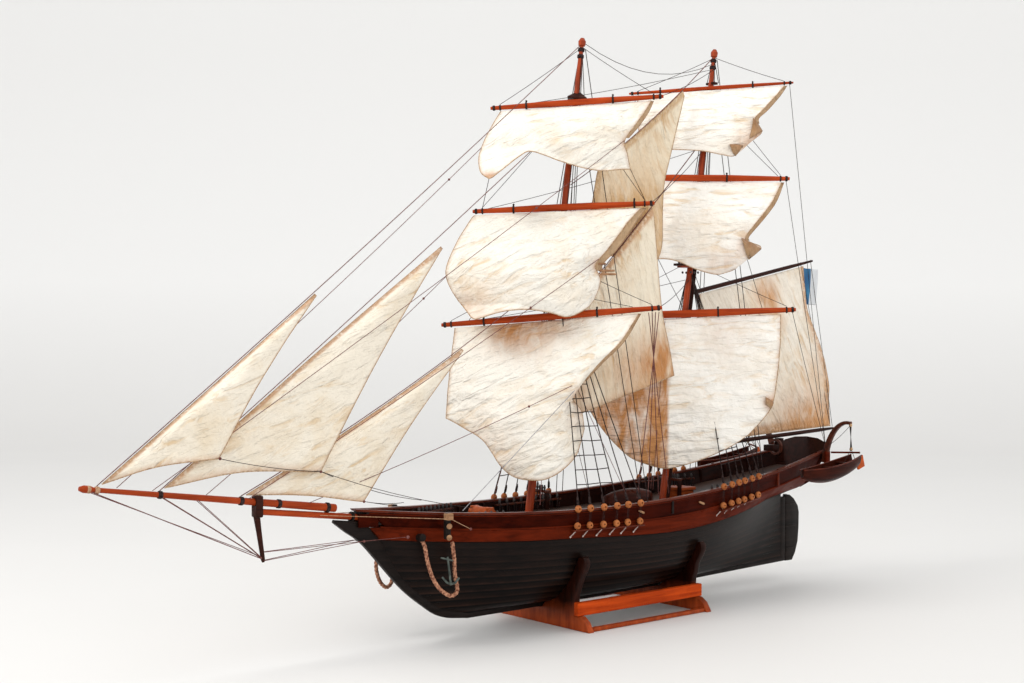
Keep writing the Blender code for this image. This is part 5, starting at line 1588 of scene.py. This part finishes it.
def davit(word, side):
    """A timber curved outboard, thinner towards its head."""
    path = smooth_path([at(DAVIT_X, side * y, z) for y, z in DAVIT_CURVE], 5)
    shares = [k / (len(path) - 1) for k in range(len(path))]
    timber = swept(path, [(0.0070 - 0.0026 * share, 0.0072 - 0.0036 * share) for share in shares])
    piece("davit_" + word + "_timber", timber, davit_wood, nodes=("davit_" + word,))


def boats():
    """Quarter boats with thwarts, rudders and falls, their davits, and the upturned longboat."""
    feet, falls, blocks, rudders = bmesh.new(), [], bmesh.new(), bmesh.new()
    for word, side in (("port", 1), ("starboard", -1)):
        quarter_boat(word, side)
        davit(word, side)
        join(feet, block(at(DAVIT_X, side * 0.0418, 0.1490), (0.0076, 0.0030, 0.0130)))
        head = at(DAVIT_X, side * 0.0745, 0.1875)
        low = at(0.0130, side * 0.0770, 0.1600)
        join(blocks, ball(head, 0.0021, (1, 0, 0)), ball(low, 0.0021, (1, 0, 0)))
        for shift in (-0.0018, -0.0006, 0.0006, 0.0018):
            falls.append([head + Vector((shift, 0, 0)), low + Vector((-shift, 0, 0))])
        falls.append([low, at(0.0060, side * 0.0775, 0.1475)])
        falls.append([low, at(0.0260, side * 0.0765, 0.1450)])
        falls.append(sag(head, at(0.0300, side * 0.0440, 0.1560), 0.003))
        join(rudders, block(at(-0.0040, side * 0.0772, 0.1440), (0.0125, 0.0024, 0.0140), (0, 0.30, 0)))
        join(feet, turned(at(0.0230, side * 0.0560, 0.1555), at(0.0040, side * 0.0830, 0.1560),
                          ((0, 0.0011), (1, 0.0011)), 8))
    piece("davit_feet", feet, band_wood)
    piece("boat_fall_blocks", blocks, block_wood)
    piece("boat_rudders", rudders, orange_wood)
    cordage("boat_falls", falls, THREAD, dark_twine)
    softened("longboat", boat_wood, sharp=60.0)


STANCHIONS = 15
RACK_PINS = 9


def pin_rack(front, back, side, racks, pins, coils):
    """A rack inside the bulwark, with its belaying pins and a coil of line on each."""
    middle = (front + back) / 2
    z = rail_height(middle) - 0.0058
    turn = math.atan2(side * (half_breadth(front, 0.12) - half_breadth(back, 0.12)), front - back)
    place = at(middle, side * (half_breadth(middle, 0.12) - 0.0080), z)
    join(racks, block(place, (front - back, 0.0046, 0.0018), (0, 0, turn)))
    for n in range(RACK_PINS):
        x = back + (front - back) * (n + 0.5) / RACK_PINS
        y = half_breadth(x, 0.12) - 0.0080
        join(pins, turned(at(x, side * y, z - 0.0060), at(x, side * y, z + 0.0062),
                          ((0, 0.0004), (0.5, 0.0007), (0.62, 0.0012), (0.85, 0.0014), (1, 0.0006)), 8))
        coils.append([at(x + 0.0016 * math.sin(a), side * (y - 0.0022), z - 0.0050 + 0.0058 * math.cos(a))
                      for a in (0.7 * m + n for m in range(19))])


def fife_rail(mast, racks, posts, pins):
    """A short rail on two posts behind a mast."""
    foot = mast(0.130)
    join(racks, block(foot + Vector((-0.0100, 0, 0.0030)), (0.0040, 0.0300, 0.0028)))
    for side in (1, -1):
        join(posts, block(foot + Vector((-0.0100, side * 0.0130, -0.0060)), (0.0036, 0.0036, 0.0180)))
        for n in range(3):
            pin = foot + Vector((-0.0100, side * (0.0020 + 0.0036 * n), 0.0))
            join(pins, turned(pin + Vector((0, 0, -0.004)), pin + Vector((0, 0, 0.0095)),
                              ((0, 0.0004), (0.6, 0.0008), (0.8, 0.0013), (1, 0.0006)), 8))


def bitts(x, wide, target):
    """A low block across the deck with a roller over it."""
    z = deck_top(x)
    join(target, turned(at(x, -wide / 2, z + 0.0060), at(x, wide / 2, z + 0.0060),
                        ((0, 0.0034), (0.5, 0.0042), (1, 0.0034)), 14),
         block(at(x, 0.0, z + 0.0036), (0.0040, wide + 0.004, 0.0072)))


def deck_fittings():
    """Skylight, windlass, bitts, stanchions, pin racks with belaying pins, and the wheel post."""
    softened("skylight", skylight_wood, 0.0003)
    softened("windlass", skylight_wood, 0.0002)
    posts, pins, racks, coils = bmesh.new(), bmesh.new(), bmesh.new(), []
    for side in (1, -1):
        for k in range(STANCHIONS):
            x = 0.060 + 0.036 * k
            y = half_breadth(x, rail_height(x) - 0.01) - 0.0040
            low, high = deck_top(x), rail_height(x) - 0.0028
            join(posts, block(at(x, side * y, (low + high) / 2), (0.0032, 0.0024, high - low), bevel=0.0003))
        for front, back in ((0.440, 0.345), (0.232, 0.146), (0.560, 0.505)):
            pin_rack(front, back, side, racks, pins, coils)
    bitts(0.5718, 0.0100, posts)
    bitts(0.5552, 0.0120, racks)
    for mast in (fore_at, main_at):
        fife_rail(mast, racks, posts, pins)
    join(posts, block(at(0.0480, 0.0, 0.1560), (0.0060, 0.0090, 0.0280)),
         block(at(0.0700, 0.0060, 0.1600), (0.0110, 0.0140, 0.0070)))
    join(racks, turned(at(0.0530, 0.0, 0.1600), at(0.0560, 0.0, 0.1600),
                       ((0, 0.0070), (0, 0.0096), (1, 0.0096), (1, 0.0070)), 20, True))
    piece("bulwark_stanchions", posts, inner_wood)
    piece("pin_racks", racks, davit_wood)
    piece("belaying_pins", pins, dark_metal)
    cordage("rope_coils", coils, 0.0004, dark_twine)


def mast_fittings():
    """Dark trees and small beads at the tops, and turned knobs above."""
    dark, beads = bmesh.new(), bmesh.new()
    for mast, top_z in ((fore_at, 0.3600), (main_at, 0.3675)):
        join(dark, block(mast(top_z + 0.0018, 0.002), (0.0230, 0.0270, 0.0026)))
        for side in (1, -1):
            for k in range(3):
                join(beads, ball(mast(top_z + 0.0046, -0.008 + 0.007 * k, side * 0.0122), 0.0016),
                     ball(mast(top_z + 0.0092, -0.008 + 0.007 * k, side * 0.0118), 0.0016),
                     ball(mast(top_z - 0.0070, -0.007 + 0.006 * k, side * 0.0060), 0.0014))
    join(dark, turned(fore_at(0.5315), fore_at(0.5401), ((0, 0.0140), (0.2, 0.0142), (1, 0.0036)), 4),
         block(main_at(0.5740, 0.001), (0.0070, 0.0120, 0.0026)))
    piece("mast_trees", dark, dark_wood)
    piece("top_beads", beads, dark_metal)


CABLE_RADIUS = 0.0020
CABLE_ROUTE = ((0.5953, 0.0262, 0.1035), (0.5925, 0.0290, 0.0950), (0.5905, 0.0300, 0.0830),
               (0.5870, 0.0320, 0.0690), (0.5810, 0.0335, 0.0580), (0.5740, 0.0355, 0.0510),
               (0.5670, 0.0375, 0.0480), (0.5620, 0.0388, 0.0530), (0.5650, 0.0390, 0.0680),
               (0.5660, 0.0395, 0.0800), (0.5690, 0.0415, 0.0900), (0.5720, 0.0440, 0.0985))


STRAND_PITCH = 0.011


def laid_rope(path, radius):
    """Three twisted strands along a path, as one tube."""
    rows, turn = [], 0.0
    side = Vector((0, 1, 0))
    for k, centre in enumerate(path):
        tangent = direction(path, k)
        side = (side - tangent * side.dot(tangent)).normalized()
        up = tangent.cross(side)
        turn += (centre - path[max(k - 1, 0)]).length / STRAND_PITCH * 2 * math.pi
        row = []
        for n in range(18):
            angle = math.radians(20 * n)
            reach = radius * (0.66 + 0.34 * abs(math.cos(1.5 * (angle - turn))))
            row.append(centre + side * (reach * math.cos(angle)) + up * (reach * math.sin(angle)))
        rows.append(row)
    return skin(rows, wrap=True)


def ground_tackle():
    """Anchors, and the thick cables that hang in a bight at each bow."""
    for word, side in (("port", 1), ("starboard", -1)):
        softened("anchor_" + word, anchor_metal, sharp=50.0)
        route = CABLE_ROUTE
        if side < 0:
            last = len(CABLE_ROUTE) - 1
            route = [(x + 0.020 * math.sin(math.pi * k / last) ** 0.6, y, z)
                     for k, (x, y, z) in enumerate(CABLE_ROUTE)]
        path = resample(smooth_path([at(x, side * y, z) for x, y, z in route], 12), 150)
        name = "anchor_cable_" + word
        cable = piece(name + "_cord", laid_rope(path, CABLE_RADIUS), cable_fibre, nodes=(name,),
                      angle=60.0)


def cradle():
    """The two frames and the planks between them."""
    softened("stand_fore_frame", frame_wood, 0.0009)
    softened("stand_aft_frame", frame_wood, 0.0009)
    for word in ("port", "starboard"):
        softened("stand_plank_" + word, plank_wood)
    laths = bmesh.new()
    for side in (1, -1):
        join(laths, block(at(0.3372, side * 0.0680, 0.0022), (0.1610, 0.0060, 0.0036)))
    piece("stand_laths", laths, frame_wood)


# Floor, backdrop and light


def paper(tree):
    """Pale paper, a little darker on the floor than on the backdrop."""
    mottle = ramp(tree, cloud(tree, coordinates(tree), 3.0),
                  (0.3, (0.735, 0.730, 0.722)), (0.7, (0.745, 0.740, 0.732)))
    return blend(tree, level(tree, coordinate(tree, 2), 0.0, 0.45), mottle, (0.89, 0.89, 0.885))


FLAT_STEPS = 9
BEND_STEPS = 16
BEND_RADIUS = 1.2


def backdrop_profile():
    """Depth and height along the floor, up the bend and up the wall."""
    profile = [(-1.6 + 0.45 * step, 0.0) for step in range(FLAT_STEPS)]
    for step in range(1, BEND_STEPS + 1):
        turn = math.radians(90 * step / BEND_STEPS)
        profile.append((2.0 + BEND_RADIUS * math.sin(turn), BEND_RADIUS * (1 - math.cos(turn))))
    return profile + [(3.2, 4.0)]


def backdrop():
    """A pale floor that curves up into a wall behind the ship."""
    away = Vector((-0.648, -0.761, 0.0)).normalized()
    across = Vector((away.y, -away.x, 0.0))
    bm = skin([[away * depth + across * (k - 6) * 0.9 + Vector((0, 0, rise)) for k in range(13)]
               for depth, rise in backdrop_profile()])
    bmesh.ops.recalc_face_normals(bm, faces=bm.faces)
    mesh = bpy.data.meshes.new("floor")
    bm.to_mesh(mesh)
    bm.free()
    mesh.shade_smooth()
    mesh.materials.append(finish("paper_white", paper, 0.6))
    floor = bpy.data.objects.new("floor", mesh)
    bpy.context.scene.collection.objects.link(floor)


def studio():
    """The backdrop, under soft light from the bow side."""
    backdrop()
    world = bpy.data.worlds.new("studio")
    world.use_nodes = True
    background = world.node_tree.nodes["Background"]
    background.inputs["Color"].default_value = (1.0, 0.995, 0.985, 1.0)
    background.inputs["Strength"].default_value = 1.0
    bpy.context.scene.world = world
    for name, where, size, power, tint in (("key", (1.1, -0.25, 1.5), 0.5, 9.5, (1.0, 0.98, 0.95)),
                                           ("fill", (0.3, 1.6, 0.9), 1.2, 3.5, (1.0, 0.98, 0.96)),
                                           ("top", (-0.3, 0.2, 1.9), 1.4, 4.0, (1.0, 1.0, 1.0))):
        lamp = bpy.data.lights.new(name, "AREA")
        lamp.size = size
        lamp.energy = power
        lamp.color = tint
        holder = bpy.data.objects.new(name, lamp)
        holder.location = where
        holder.rotation_euler = (Vector((0, 0, 0.25)) - Vector(where)).to_track_quat("-Z", "Y").to_euler()
        bpy.context.scene.collection.objects.link(holder)


hull_planking()
hull_parts()
spars()
seizings()
square_sails()
headsails()
mid_staysails()
spanker()
flag()
bolt_ropes()
standing_rigging()
topmast_shrouds()
stays()
running_rigging()
topsail_toggles()
boats()
deck_fittings()
mast_fittings()
side_mouldings()
stem_head()
catheads()
ground_tackle()
cradle()
studio()
